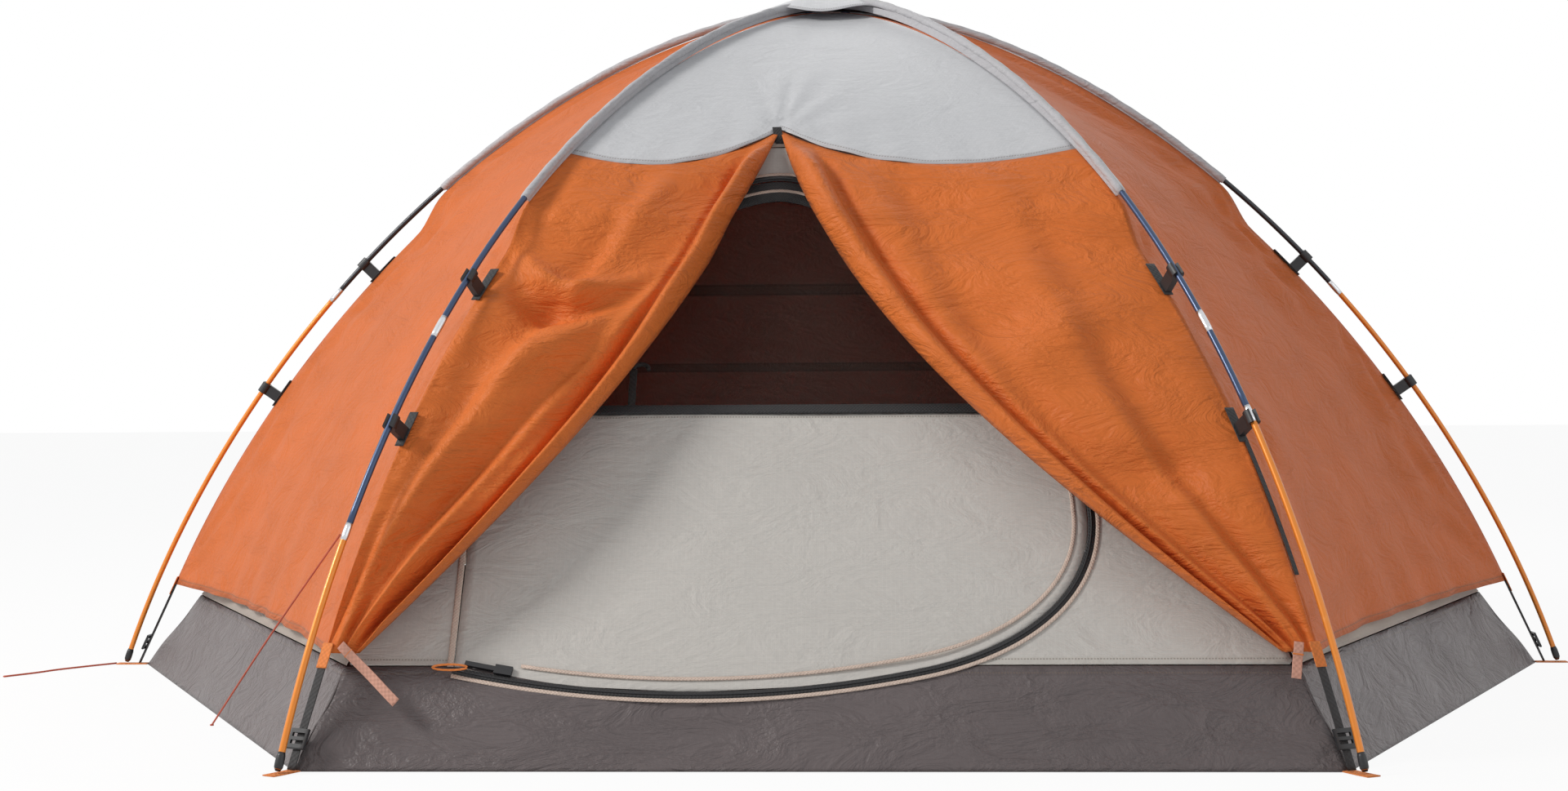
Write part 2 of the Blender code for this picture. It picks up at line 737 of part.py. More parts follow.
def inner_front():
    """Tub floor, front wall, door and zip, which share the front wall's plane."""
    outline = door_outline()
    rings = []
    shrink = TUB_WALL / math.sin(INNER_LEAN) / math.cos(math.radians(30))
    for height, inward in ((0.0, 0.0), (TUB_HEIGHT, 0.0), (TUB_HEIGHT, shrink), (TUB_WALL, shrink)):
        rings.append([inner_plan(foot, height) - outward(foot) * inward for foot in FEET])
    points = np.array(rings).reshape(-1, 3)
    faces = [list(range(6)), list(range(18, 24))[::-1]]
    for ring in range(3):
        for i in range(6):
            j = (i + 1) % 6
            faces.append([ring * 6 + j, ring * 6 + i, ring * 6 + 6 + i, ring * 6 + 6 + j])
    tub = solid("tub_floor", points, faces, tub_grey())

    knee = CROWN_HEIGHT - INNER_KNEE_DROP
    slope = front_frame()[1][2]
    low = (TUB_HEIGHT + INNER_CLOTH) / slope
    high = (knee - INNER_CLOTH - SEAM_GAP) / slope
    corner_low = inner_plan("front_right", low * slope)[0] - WALL_EDGE_MARGIN
    corner_high = inner_plan("front_right", knee)[0] - WALL_EDGE_MARGIN
    frame = [(-corner_low, low), (corner_low, low), (corner_high, high), (-corner_high, high)]
    wall = extruded("inner_front_wall", frame, on_front, -INNER_CLOTH, 0.0, inner_cream())
    opening = extruded("door_opening", grown(outline, DOOR_PLAY), on_front, -CUT_DEPTH, CUT_DEPTH, inner_cream())
    cut(wall, opening)
    tub_cutter = extruded("door_notch", grown(outline, DOOR_PLAY), on_front, -CUT_DEPTH, CUT_DEPTH, inner_cream())
    cut(tub, tub_cutter)

    hinge = on_front(np.array([DOOR_HINGE_X]), np.array([DOOR_HINGE_FOOT]), np.array([-INNER_CLOTH]))[0]
    below = split_outline(outline, DOOR_SPLIT_UP - SEAM_GAP / 2, True)
    above = split_outline(outline, DOOR_SPLIT_UP + SEAM_GAP / 2, False)
    extruded("door_panel", below, on_front, -INNER_CLOTH, 0.0, inner_cream(), hinge)
    extruded("door_mesh", above, on_front, -INNER_CLOTH, 0.0, black_mesh(), hinge)

    edge = grown(outline, DOOR_PLAY, closed=False)
    rim = grown(outline, DOOR_PLAY + ZIP_TAPE_WIDTH, closed=False)
    both = []
    for out in (GAP + ZIP_TAPE, GAP):
        rows = [on_front(line[:, 0], line[:, 1], np.full(len(line), out)) for line in (edge, rim)]
        both.append(np.stack(rows, axis=1))
    slab("zip_tape", both[0], both[1], black_mesh())


def zip_slider():
    """Slider and its pull at the left end of the door's bottom arc; it runs on the arc about its centre."""
    turn = math.asin((SLIDER_START_X - DOOR_ARC_X) / DOOR_ARC_RADIUS)
    centre = on_front(np.array([DOOR_ARC_X]), np.array([arc_centre_up()]), np.array([0.0]))[0]
    side = DOOR_PLAY + SLIDER_WIDTH
    middle = DOOR_PLAY + SLIDER_WIDTH / 2
    outline = [
        (-SLIDER_LENGTH / 2 - PULL_LENGTH, middle - PULL_WIDTH / 2),
        (-SLIDER_LENGTH / 2, middle - PULL_WIDTH / 2),
        (-SLIDER_LENGTH / 2, DOOR_PLAY),
        (SLIDER_LENGTH / 2, DOOR_PLAY),
        (SLIDER_LENGTH / 2, side),
        (-SLIDER_LENGTH / 2, side),
        (-SLIDER_LENGTH / 2, middle + PULL_WIDTH / 2),
        (-SLIDER_LENGTH / 2 - PULL_LENGTH, middle + PULL_WIDTH / 2),
    ]

    def place(along, inward, out):
        angle = turn + along / DOOR_ARC_RADIUS
        radius = DOOR_ARC_RADIUS - inward
        return on_front(
            DOOR_ARC_X + radius * np.sin(angle), arc_centre_up() - radius * np.cos(angle), out
        )

    extruded("zip_slider", outline, place, GAP, GAP + SLIDER_HEIGHT, black_plastic(), centre)


def inner_canopy():
    """Five walls and the six-sided roof of the inner tent in one thin shell."""
    knee = CROWN_HEIGHT - INNER_KNEE_DROP
    crown = CROWN_HEIGHT - INNER_CROWN_DROP
    feet = list(FEET)
    base = TUB_HEIGHT + INNER_CLOTH
    heights = np.linspace(base, knee, 4)
    mesh = bpy.data.meshes.new("inner_canopy")
    shell = bmesh.new()

    def roof_point(foot, share):
        radius = float(inner_radius(foot, knee))
        shoulder = (
            radius - INNER_SHOULDER * math.cos(INNER_LEAN),
            knee + INNER_SHOULDER * math.sin(INNER_LEAN),
        )
        flat = bezier((radius, knee), shoulder, (INNER_TOP_REACH, crown), (0.0, crown), [share])
        return in_plane(foot, flat)[0]

    columns = {foot: [shell.verts.new(inner_plan(foot, h)) for h in heights] for foot in feet}
    for foot in feet:
        columns[foot] += [shell.verts.new(roof_point(foot, s)) for s in INNER_ROOF_SHARES]
    top = shell.verts.new((0.0, 0.0, crown))
    for i, foot in enumerate(feet):
        other = feet[(i + 1) % 6]
        first_row = len(heights) - 1 if i == 0 else 0
        for row in range(first_row, len(columns[foot]) - 1):
            a, b = columns[foot], columns[other]
            shell.faces.new((a[row], b[row], b[row + 1], a[row + 1]))
        shell.faces.new((columns[foot][-1], columns[other][-1], top))
    shell.to_mesh(mesh)
    shell.free()
    mesh.materials.append(inner_cream())
    obj = bpy.data.objects.new("inner_canopy", mesh)
    bpy.context.scene.collection.objects.link(obj)
    thick = obj.modifiers.new("cloth", "SOLIDIFY")
    thick.thickness = INNER_CLOTH
    thick.offset = -1.0
    thick.use_even_offset = True


def flap_tie(name, foot, share, length, slant, standoff):
    """Webbing tail at the foot of a flap, hanging in front of the tub from a pivot at its head."""
    turn = turn_of([FLAP_FOOT_HEIGHT + TIE_WIDTH / 2], fly_crown(0.0))
    head = fly_point("front", [share], turn, 0.0)[0]
    head = head + np.array([0.0, -standoff, 0.0])
    towards_middle = -math.copysign(1.0, FEET[foot][0])
    down = np.array([towards_middle * math.sin(slant), -TIE_LEAN, -math.cos(slant)])
    down /= np.linalg.norm(down)
    wide = np.cross(down, np.array([0.0, 1.0, 0.0]))
    wide /= np.linalg.norm(wide)
    front = np.cross(down, wide)
    front *= -math.copysign(1.0, front[1])
    half = TIE_WIDTH / 2
    round_head = [(half * math.sin(a), -half * math.cos(a)) for a in np.linspace(-math.pi / 2, math.pi / 2, 7)]
    outline = round_head + [(half, length - half), (-half, length - half)]

    def place(u, v, w):
        return head + u[:, None] * wide + v[:, None] * down + w[:, None] * front

    extruded(name, outline, place, 0.0, TIE_THICKNESS, tie_tan(), head)


def smooth_route(points, spacing):
    """Evenly spaced points on a smooth curve through a few chosen ones."""
    points = np.asarray(points, float)
    ends = np.concatenate([[2 * points[0] - points[1]], points, [2 * points[-1] - points[-2]]])
    pieces = []
    for i in range(len(points) - 1):
        p0, p1, p2, p3 = ends[i : i + 4]
        t = np.linspace(0, 1, 40, endpoint=False)[:, None]
        pieces.append(
            0.5 * (2 * p1 + (p2 - p0) * t + (2 * p0 - 5 * p1 + 4 * p2 - p3) * t**2
                   + (3 * p1 - p0 - 3 * p2 + p3) * t**3)
        )
    dense = np.concatenate([*pieces, points[-1:]])
    length = np.concatenate([[0], np.cumsum(np.linalg.norm(np.diff(dense, axis=0), axis=1))])
    count = max(4, int(length[-1] / spacing) + 1)
    at = np.linspace(0, length[-1], count)
    return np.column_stack([np.interp(at, length, dense[:, k]) for k in range(3)])


def cord(name, points, diameter):
    route = smooth_route(points, diameter * 3)
    curve = bpy.data.curves.new(name, "CURVE")
    curve.dimensions = "3D"
    curve.bevel_depth = diameter / 2
    curve.bevel_resolution = 2
    curve.use_fill_caps = True
    spline = curve.splines.new("POLY")
    spline.points.add(len(route) - 1)
    for point, place in zip(spline.points, route):
        point.co = (*place, 1.0)
    curve.materials.append(red_cord())
    obj = bpy.data.objects.new(name, curve)
    bpy.context.scene.collection.objects.link(obj)


def main():
    clear_scene()
    poles()
    sleeves()
    fly_panels()
    door_flap("flap_left", False)
    door_flap("flap_right", True)
    clips()
    for foot in FEET:
        corner_strap(foot)
        buckle(foot)
    inner_front()
    inner_canopy()
    zip_slider()
    left, right = FLAP_FOOT_SHARE / 2, 1 - FLAP_FOOT_SHARE / 2
    flap_tie("tie_left", "front_left", left, TIE_LENGTH_LEFT, TIE_SLANT_LEFT, TIE_STANDOFF_LEFT)
    flap_tie("tie_right", "front_right", right, TIE_LENGTH_RIGHT, TIE_SLANT_RIGHT, TIE_STANDOFF_RIGHT)
    cord("guy_line", GUY_POINTS, GUY_DIAMETER)
    cord("peg_cord_left", PEG_CORD_POINTS, PEG_CORD_DIAMETER)


main()
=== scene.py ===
import math

import bmesh
import bpy
import numpy as np
from mathutils import Matrix, Vector


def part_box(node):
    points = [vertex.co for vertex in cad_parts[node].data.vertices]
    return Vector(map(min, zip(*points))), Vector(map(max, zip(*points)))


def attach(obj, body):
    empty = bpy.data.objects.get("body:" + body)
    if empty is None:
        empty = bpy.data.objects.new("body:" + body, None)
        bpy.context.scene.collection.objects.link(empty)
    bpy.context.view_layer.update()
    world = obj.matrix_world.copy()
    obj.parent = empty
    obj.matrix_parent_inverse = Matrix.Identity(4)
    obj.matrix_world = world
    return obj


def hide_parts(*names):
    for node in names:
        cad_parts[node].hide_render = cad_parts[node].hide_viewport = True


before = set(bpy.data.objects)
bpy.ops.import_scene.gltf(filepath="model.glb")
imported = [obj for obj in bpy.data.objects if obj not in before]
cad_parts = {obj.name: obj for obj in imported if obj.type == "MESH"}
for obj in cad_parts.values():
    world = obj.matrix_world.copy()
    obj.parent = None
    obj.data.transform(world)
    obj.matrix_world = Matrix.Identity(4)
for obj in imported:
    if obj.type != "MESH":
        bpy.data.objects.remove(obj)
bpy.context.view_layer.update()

upward = np.array([0.0, 0.0, 1.0])


# camera
cameraSize = {"lens": 53.0, "sensor": 36.0, "yaw": -0.039, "pitch": 0.0014, "roll": -0.0058,
              "distance": 3.85, "height": 0.4416, "sideways": 0.0701}


def makeCamera():
    # looks along +Y, turned by yaw and pitch and then rolled about its own view direction
    data = bpy.data.cameras.new("camera")
    data.lens, data.sensor_width = cameraSize["lens"], cameraSize["sensor"]
    data.clip_end = 60.0
    yaw, pitch, roll = cameraSize["yaw"], cameraSize["pitch"], cameraSize["roll"]
    level = np.array([math.cos(yaw), -math.sin(yaw), 0.0])
    ahead = np.array([math.sin(yaw) * math.cos(pitch), math.cos(yaw) * math.cos(pitch), math.sin(pitch)])
    above = np.cross(level, ahead)
    right = level * math.cos(roll) + above * math.sin(roll)
    top = above * math.cos(roll) - level * math.sin(roll)
    place = np.eye(4)
    place[:3, 0], place[:3, 1], place[:3, 2] = right, top, -ahead
    place[:3, 3] = cameraSize["sideways"], -cameraSize["distance"], cameraSize["height"]
    camera = bpy.data.objects.new("camera", data)
    camera.matrix_world = Matrix(place.tolist())
    bpy.context.scene.collection.objects.link(camera)
    bpy.context.scene.camera = camera


makeCamera()
print("camera placed")


# shader helpers
def give(tree, node, values):
    # each named input of a node gets a number or a link to a socket
    for key, value in values.items():
        if isinstance(value, bpy.types.NodeSocket):
            tree.links.new(value, node.inputs[key])
        else:
            node.inputs[key].default_value = value


def put(tree, kind, values=None, **settings):
    node = tree.nodes.new(kind)
    for key, value in settings.items():
        setattr(node, key, value)
    give(tree, node, values or {})
    return node


def calc(tree, operation, first, second=0.0, third=0.0):
    return put(tree, "ShaderNodeMath", {0: first, 1: second, 2: third}, operation=operation).outputs[0]


def blendColours(tree, factor, first, second):
    return put(tree, "ShaderNodeMix", {0: factor, 6: first, 7: second}, data_type="RGBA").outputs[2]


def startGroup(name, inputs, outputs):
    tree = bpy.data.node_groups.new(name, "ShaderNodeTree")
    for label, kind, value in inputs:
        tree.interface.new_socket(label, in_out="INPUT", socket_type=kind).default_value = value
    for label, kind in outputs:
        tree.interface.new_socket(label, in_out="OUTPUT", socket_type=kind)
    return tree, tree.nodes.new("NodeGroupInput"), tree.nodes.new("NodeGroupOutput")


def clothGroup():
    # coated nylon: broad shade changes, fine mottling, soft pulled creases and a faint ripstop grid
    tree, start, end = startGroup(
        "coatedNylon",
        [("Colour", "NodeSocketColor", (0.8, 0.8, 0.8, 1)), ("Place", "NodeSocketVector", (0, 0, 0)),
         ("Grid Place", "NodeSocketVector", (0, 0, 0)), ("Shade", "NodeSocketFloat", 0.1),
         ("Crease", "NodeSocketFloat", 0.3), ("Rough", "NodeSocketFloat", 0.5)],
        [("Colour", "NodeSocketColor"), ("Roughness", "NodeSocketFloat"), ("Normal", "NodeSocketVector")])
    get = start.outputs
    broad = put(tree, "ShaderNodeTexNoise", {"Vector": get["Place"], "Scale": 3.2, "Detail": 4.0, "Roughness": 0.55})
    fine = put(tree, "ShaderNodeTexNoise", {"Vector": get["Place"], "Scale": 160.0, "Detail": 2.0})
    split = put(tree, "ShaderNodeSeparateXYZ", {0: get["Grid Place"]})
    lines = []
    for axis in (0, 1):
        wave = calc(tree, "FRACT", calc(tree, "MULTIPLY", split.outputs[axis], 190.0))
        lines.append(calc(tree, "LESS_THAN", wave, 0.10))
    threads = calc(tree, "MAXIMUM", lines[0], lines[1])
    swing = calc(tree, "MULTIPLY", calc(tree, "SUBTRACT", broad.outputs["Fac"], 0.5), get["Shade"])
    small = calc(tree, "MULTIPLY", calc(tree, "SUBTRACT", fine.outputs["Fac"], 0.5), 0.06)
    lift = calc(tree, "ADD", calc(tree, "ADD", swing, small), calc(tree, "MULTIPLY", threads, 0.025))
    bright = calc(tree, "ADD", calc(tree, "MULTIPLY", lift, 2.0), 1.0)
    scaled = put(tree, "ShaderNodeVectorMath", {0: get["Colour"], "Scale": bright}, operation="SCALE")
    rough = calc(tree, "ADD", get["Rough"], calc(tree, "MULTIPLY", swing, 0.6))
    stretched = put(tree, "ShaderNodeMapping", {"Vector": get["Place"], "Scale": (1.0, 1.0, 2.6),
                                                "Rotation": (0.5, 0.35, 0.2)})
    pulls = put(tree, "ShaderNodeTexNoise", {"Vector": stretched.outputs[0], "Scale": 9.0, "Detail": 5.0,
                                             "Roughness": 0.62, "Distortion": 0.9})
    ridge = calc(tree, "ABSOLUTE", calc(tree, "SUBTRACT", pulls.outputs["Fac"], 0.5))
    height = calc(tree, "ADD", calc(tree, "MULTIPLY", ridge, -1.0), calc(tree, "MULTIPLY", threads, 0.004))
    bump = put(tree, "ShaderNodeBump", {"Strength": get["Crease"], "Distance": 0.030, "Height": height})
    give(tree, end, {"Colour": scaled.outputs[0], "Roughness": rough, "Normal": bump.outputs[0]})
    return tree


def seamGroup():
    # a taped seam beside a line: a flat band with two rows of stitches, from the distance to the line
    tree, start, end = startGroup(
        "tapedSeam",
        [("Distance", "NodeSocketFloat", 1.0), ("Along", "NodeSocketFloat", 0.0), ("Width", "NodeSocketFloat", 0.012)],
        [("Band", "NodeSocketFloat"), ("Stitch", "NodeSocketFloat")])
    get = start.outputs
    away = calc(tree, "ABSOLUTE", get["Distance"])
    band = calc(tree, "LESS_THAN", away, get["Width"])
    rows = calc(tree, "ABSOLUTE", calc(tree, "SUBTRACT", calc(tree, "DIVIDE", away, get["Width"]), 0.72))
    near = calc(tree, "LESS_THAN", rows, 0.09)
    dash = calc(tree, "LESS_THAN", calc(tree, "FRACT", calc(tree, "MULTIPLY", get["Along"], 260.0)), 0.62)
    give(tree, end, {"Band": band, "Stitch": calc(tree, "MULTIPLY", near, dash)})
    return tree


def webbingGroup():
    # flat webbing: fine ribs across the strap, with painted shade darkening the grooves and painted light on the ribs
    tree, start, end = startGroup(
        "wovenWebbing",
        [("Colour", "NodeSocketColor", (0.5, 0.5, 0.5, 1)), ("Place", "NodeSocketVector", (0, 0, 0)),
         ("Ribs", "NodeSocketFloat", 700.0)],
        [("Colour", "NodeSocketColor"), ("Roughness", "NodeSocketFloat"), ("Normal", "NodeSocketVector")])
    get = start.outputs
    split = put(tree, "ShaderNodeSeparateXYZ", {0: get["Place"]})
    rib = calc(tree, "SINE", calc(tree, "MULTIPLY", split.outputs[1], get["Ribs"]))
    cross = calc(tree, "SINE", calc(tree, "MULTIPLY", split.outputs[0], get["Ribs"]))
    weave = calc(tree, "MULTIPLY", rib, cross)
    grain = put(tree, "ShaderNodeTexNoise", {"Vector": get["Place"], "Scale": 90.0, "Detail": 3.0})
    # the weave term is painted shade in the grooves and painted light on the ribs; the grain is random tone
    shade = calc(tree, "ADD", calc(tree, "MULTIPLY", weave, 0.10),
                 calc(tree, "ADD", calc(tree, "MULTIPLY", grain.outputs["Fac"], 0.4), 0.80))
    scaled = put(tree, "ShaderNodeVectorMath", {0: get["Colour"], "Scale": shade}, operation="SCALE")
    rough = calc(tree, "ADD", calc(tree, "MULTIPLY", grain.outputs["Fac"], 0.2), 0.6)
    bump = put(tree, "ShaderNodeBump", {"Strength": 0.5, "Distance": 0.0006, "Height": weave})
    give(tree, end, {"Colour": scaled.outputs[0], "Roughness": rough, "Normal": bump.outputs[0]})
    return tree


def mouldedGroup():
    # moulded or anodised surface: a fine spark texture, faint handling wear and uneven gloss
    tree, start, end = startGroup(
        "mouldedSurface",
        [("Colour", "NodeSocketColor", (0.5, 0.5, 0.5, 1)), ("Worn", "NodeSocketColor", (0.7, 0.7, 0.7, 1)),
         ("Place", "NodeSocketVector", (0, 0, 0)), ("Rough", "NodeSocketFloat", 0.4), ("Grain", "NodeSocketFloat", 900.0)],
        [("Colour", "NodeSocketColor"), ("Roughness", "NodeSocketFloat"), ("Normal", "NodeSocketVector")])
    get = start.outputs
    grain = put(tree, "ShaderNodeTexNoise", {"Vector": get["Place"], "Scale": get["Grain"], "Detail": 2.0})
    rubs = put(tree, "ShaderNodeTexNoise", {"Vector": get["Place"], "Scale": 38.0, "Detail": 5.0, "Roughness": 0.7})
    worn = put(tree, "ShaderNodeMapRange", {"Value": rubs.outputs["Fac"], "From Min": 0.60, "From Max": 0.78,
                                            "To Min": 0.0, "To Max": 0.35})
    colour = blendColours(tree, worn.outputs[0], get["Colour"], get["Worn"])
    uneven = calc(tree, "MULTIPLY", calc(tree, "SUBTRACT", rubs.outputs["Fac"], 0.5), 0.35)
    bump = put(tree, "ShaderNodeBump", {"Strength": 0.25, "Distance": 0.0003, "Height": grain.outputs["Fac"]})
    give(tree, end, {"Colour": colour, "Roughness": calc(tree, "ADD", get["Rough"], uneven),
                     "Normal": bump.outputs[0]})
    return tree


coatedNylon, tapedSeam = clothGroup(), seamGroup()
wovenWebbing, mouldedSurface = webbingGroup(), mouldedGroup()


def newFinish(name):
    material = bpy.data.materials.new(name)
    material.use_nodes = True
    tree = material.node_tree
    return material, tree, tree.nodes["Principled BSDF"]


def feed(tree, shader, found, colour=None):
    give(tree, shader, {"Base Color": colour or found.outputs["Colour"], "Roughness": found.outputs["Roughness"],
                        "Normal": found.outputs["Normal"]})


def clothFinish(name, colour, shade=0.10, crease=0.35, rough=0.5, roof=None, tape=None, glow=0.0):
    # nylon with a taped lower hem, and where it has a roof colour, that colour above the roof seam
    material, tree, shader = newFinish(name)
    place = put(tree, "ShaderNodeTexCoord").outputs["Object"]
    cut = put(tree, "ShaderNodeUVMap", uv_map="cut").outputs[0]
    edges = put(tree, "ShaderNodeSeparateXYZ", {0: put(tree, "ShaderNodeUVMap", uv_map="edges").outputs[0]})
    along = put(tree, "ShaderNodeSeparateXYZ", {0: cut}).outputs[0]
    base = colour
    if roof:
        above = calc(tree, "GREATER_THAN", edges.outputs[0], 0.0)
        base = blendColours(tree, above, colour, roof)
    node = put(tree, "ShaderNodeGroup", {"Colour": base, "Place": place, "Grid Place": cut, "Shade": shade,
                                         "Crease": crease, "Rough": rough}, node_tree=coatedNylon)
    shown = node.outputs["Colour"]
    for distance, width in ((edges.outputs[1], 0.011), (edges.outputs[0], 0.009)):
        seam = put(tree, "ShaderNodeGroup", {"Distance": distance, "Along": along, "Width": width},
                   node_tree=tapedSeam)
        shown = blendColours(tree, calc(tree, "MULTIPLY", seam.outputs["Band"], 0.55), shown, tape or colour)
        shown = blendColours(tree, calc(tree, "MULTIPLY", seam.outputs["Stitch"], 0.5), shown, (0.2, 0.15, 0.12, 1))
    feed(tree, shader, node, shown)
    give(tree, shader, {"Sheen Weight": 0.04, "Specular IOR Level": 0.22})
    if glow:
        through = put(tree, "ShaderNodeBsdfTranslucent", {"Color": shown, "Normal": node.outputs["Normal"]})
        mixed = put(tree, "ShaderNodeMixShader", {0: glow, 1: shader.outputs[0], 2: through.outputs[0]})
        give(tree, tree.nodes["Material Output"], {"Surface": mixed.outputs[0]})
    return material


def webbingFinish(name, colour, ribs=900.0, useMap=True):
    material, tree, shader = newFinish(name)
    if useMap:
        place = put(tree, "ShaderNodeUVMap", uv_map="cut").outputs[0]
    else:
        place = put(tree, "ShaderNodeTexCoord").outputs["Object"]
    node = put(tree, "ShaderNodeGroup", {"Place": place, "Colour": colour, "Ribs": ribs}, node_tree=wovenWebbing)
    feed(tree, shader, node)
    give(tree, shader, {"Sheen Weight": 0.05})
    return material


def mouldedFinish(name, colour, worn, rough, metallic=0.0, grain=900.0, coat=0.0):
    material, tree, shader = newFinish(name)
    place = put(tree, "ShaderNodeTexCoord").outputs["Object"]
    node = put(tree, "ShaderNodeGroup", {"Place": place, "Colour": colour, "Worn": worn, "Rough": rough,
                                         "Grain": grain}, node_tree=mouldedSurface)
    feed(tree, shader, node)
    give(tree, shader, {"Metallic": metallic, "Coat Weight": coat})
    return material


def nettingFinish():
    # fine black no-see-um netting: threads over open cells, so the inside shows through darkened
    material, tree, shader = newFinish("blackNetting")
    place = put(tree, "ShaderNodeSeparateXYZ", {0: put(tree, "ShaderNodeUVMap", uv_map="cut").outputs[0]})
    lines = [calc(tree, "LESS_THAN", calc(tree, "FRACT", calc(tree, "MULTIPLY", place.outputs[axis], 700.0)), 0.11)
             for axis in (0, 1)]
    threads = calc(tree, "MAXIMUM", lines[0], lines[1])
    cloud = put(tree, "ShaderNodeTexNoise", {"Vector": put(tree, "ShaderNodeTexCoord").outputs["Object"], "Scale": 6.0})
    tone = calc(tree, "ADD", calc(tree, "MULTIPLY", cloud.outputs["Fac"], 0.25), 0.85)
    colour = put(tree, "ShaderNodeVectorMath", {0: (0.075, 0.058, 0.048), "Scale": tone}, operation="SCALE")
    give(tree, shader, {"Base Color": colour.outputs[0], "Alpha": calc(tree, "MULTIPLY", threads, 0.95),
                        "Roughness": 0.75})
    return material


orange = (0.78, 0.20, 0.050, 1)
white = (0.74, 0.745, 0.765, 1)
finishes = {
    "flyOrange": clothFinish("flyOrange", orange, 0.16, 0.55, 0.55, tape=(0.70, 0.20, 0.07, 1), glow=0.20),
    "flyTwoTone": clothFinish("flyTwoTone", orange, 0.16, 0.55, 0.55, roof=white, tape=(0.72, 0.30, 0.14, 1), glow=0.20),
    "flapOrange": clothFinish("flapOrange", (0.82, 0.205, 0.040, 1), 0.16, 0.60, 0.50, tape=(0.72, 0.20, 0.06, 1), glow=0.10),
    "roofWhite": clothFinish("roofWhite", white, 0.05, 0.22, 0.42, tape=(0.62, 0.62, 0.64, 1), glow=0.10),
    "innerCream": clothFinish("innerCream", (0.66, 0.63, 0.59, 1), 0.05, 0.25, 0.5, tape=(0.60, 0.57, 0.52, 1), glow=0.05),
    # the shell is a brighter copy of the front wall's cream inner cloth: painted light standing in for daylight through
    # the fly
    "innerShellPaintedLight": clothFinish("innerShellPaintedLight", (0.88, 0.80, 0.73, 1), 0.08, 0.30, 0.55, tape=(0.34, 0.28, 0.24, 1), glow=0.55),
    "tubGrey": clothFinish("tubGrey", (0.155, 0.130, 0.130, 1), 0.14, 0.60, 0.40, tape=(0.12, 0.10, 0.10, 1)),
    "sleeveGrey": clothFinish("sleeveGrey", (0.60, 0.59, 0.61, 1), 0.10, 0.45, 0.45, glow=0.1),
    "netting": nettingFinish(),
    "poleOrange": mouldedFinish("poleOrange", (0.85, 0.26, 0.02, 1), (0.9, 0.45, 0.15, 1), 0.34, 0.25, 300.0, 0.3),
    "poleBlue": mouldedFinish("poleBlue", (0.035, 0.065, 0.14, 1), (0.12, 0.16, 0.24, 1), 0.34, 0.5, 300.0, 0.3),
    "poleBlack": mouldedFinish("poleBlack", (0.018, 0.020, 0.026, 1), (0.08, 0.08, 0.09, 1), 0.38, 0.3, 300.0, 0.2),
    "ferrule": mouldedFinish("ferrule", (0.62, 0.63, 0.65, 1), (0.8, 0.8, 0.82, 1), 0.28, 1.0, 500.0),
    "blackPlastic": mouldedFinish("blackPlastic", (0.014, 0.014, 0.016, 1), (0.06, 0.06, 0.065, 1), 0.42),
    "orangeWebbing": webbingFinish("orangeWebbing", (0.80, 0.24, 0.05, 1)),
    "blackWebbing": webbingFinish("blackWebbing", (0.022, 0.021, 0.022, 1)),
    "tanWebbing": webbingFinish("tanWebbing", (0.66, 0.34, 0.25, 1)),
    "blackTape": webbingFinish("blackTape", (0.016, 0.015, 0.016, 1), 1400.0),
    "creamTape": webbingFinish("creamTape", (0.70, 0.55, 0.46, 1), 1400.0),
    "redCord": webbingFinish("redCord", (0.55, 0.10, 0.05, 1), 1600.0, useMap=False),
}
print("finishes made")


# poles: where the six feet stand and how the poles bend
poleSize = {"diameter": 0.0085, "tip": 0.0065, "lean": math.radians(71.5), "footReach": 0.988, "crownReach": 0.070,
            "sideFootReach": 0.624, "sideCrownReach": 0.439, "leftTop": 0.281, "rightTop": 0.419, "sideTop": 0.620,
            "gap": 0.0003, "capTop": 0.026, "collar": (0.524, 0.550)}
feetOrder = ["front_left", "front_right", "right", "rear_right", "rear_left", "left"]
sectors = {"front": ("front_left", "front_right"), "right": ("front_right", "right"),
           "rear_right": ("right", "rear_right"), "back": ("rear_right", "rear_left"),
           "rear_left": ("rear_left", "left"), "left": ("left", "front_left")}
poleNames = {"across": ("left", "right", -1), "diagonal_a": ("front_left", "rear_right", 0),
             "diagonal_b": ("front_right", "rear_left", 1)}


def nodePoints(name):
    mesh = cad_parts[name].data
    points = np.empty(len(mesh.vertices) * 3)
    mesh.vertices.foreach_get("co", points)
    return points.reshape(-1, 3)


def footPlace(foot):
    # the middle of the lower section's bottom ring, carried on to the ground along the pole's lean
    points = nodePoints("pole_foot_" + foot)
    ring = points[points[:, 2] < points[:, 2].min() + 0.004]
    middle = (ring.min(axis=0) + ring.max(axis=0)) / 2
    radius = np.hypot(middle[0], middle[1])
    return middle[:2] * (1 + poleSize["tip"] / math.tan(poleSize["lean"]) / radius)


def unit(vectors):
    return vectors / np.linalg.norm(vectors, axis=-1, keepdims=True)


def runLength(points):
    # how far along a line each of its points lies
    return np.concatenate([[0], np.cumsum(np.linalg.norm(np.diff(points, axis=0), axis=1))])


feet = {foot: footPlace(foot) for foot in feetOrder}
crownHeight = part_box("pole_arch_diagonal_a")[1][2] - poleSize["diameter"] / 2


def bezier(p0, p1, p2, p3, t):
    t = np.asarray(t, float)[:, None]
    p0, p1, p2, p3 = (np.array(p, float) for p in (p0, p1, p2, p3))
    return (1 - t) ** 3 * p0 + 3 * (1 - t) ** 2 * t * p1 + 3 * (1 - t) * t**2 * p2 + t**3 * p3


def footRadius(foot):
    return math.hypot(*feet[foot])


def outward(foot):
    return np.array([*feet[foot], 0.0]) / footRadius(foot)


def crosswise(foot):
    return np.cross(upward, outward(foot))


def between(first, second):
    return unit(outward(first) + outward(second))


def isSide(foot):
    return foot in ("left", "right")


def levelOf(foot):
    return next(level for a, b, level in poleNames.values() if foot in (a, b))


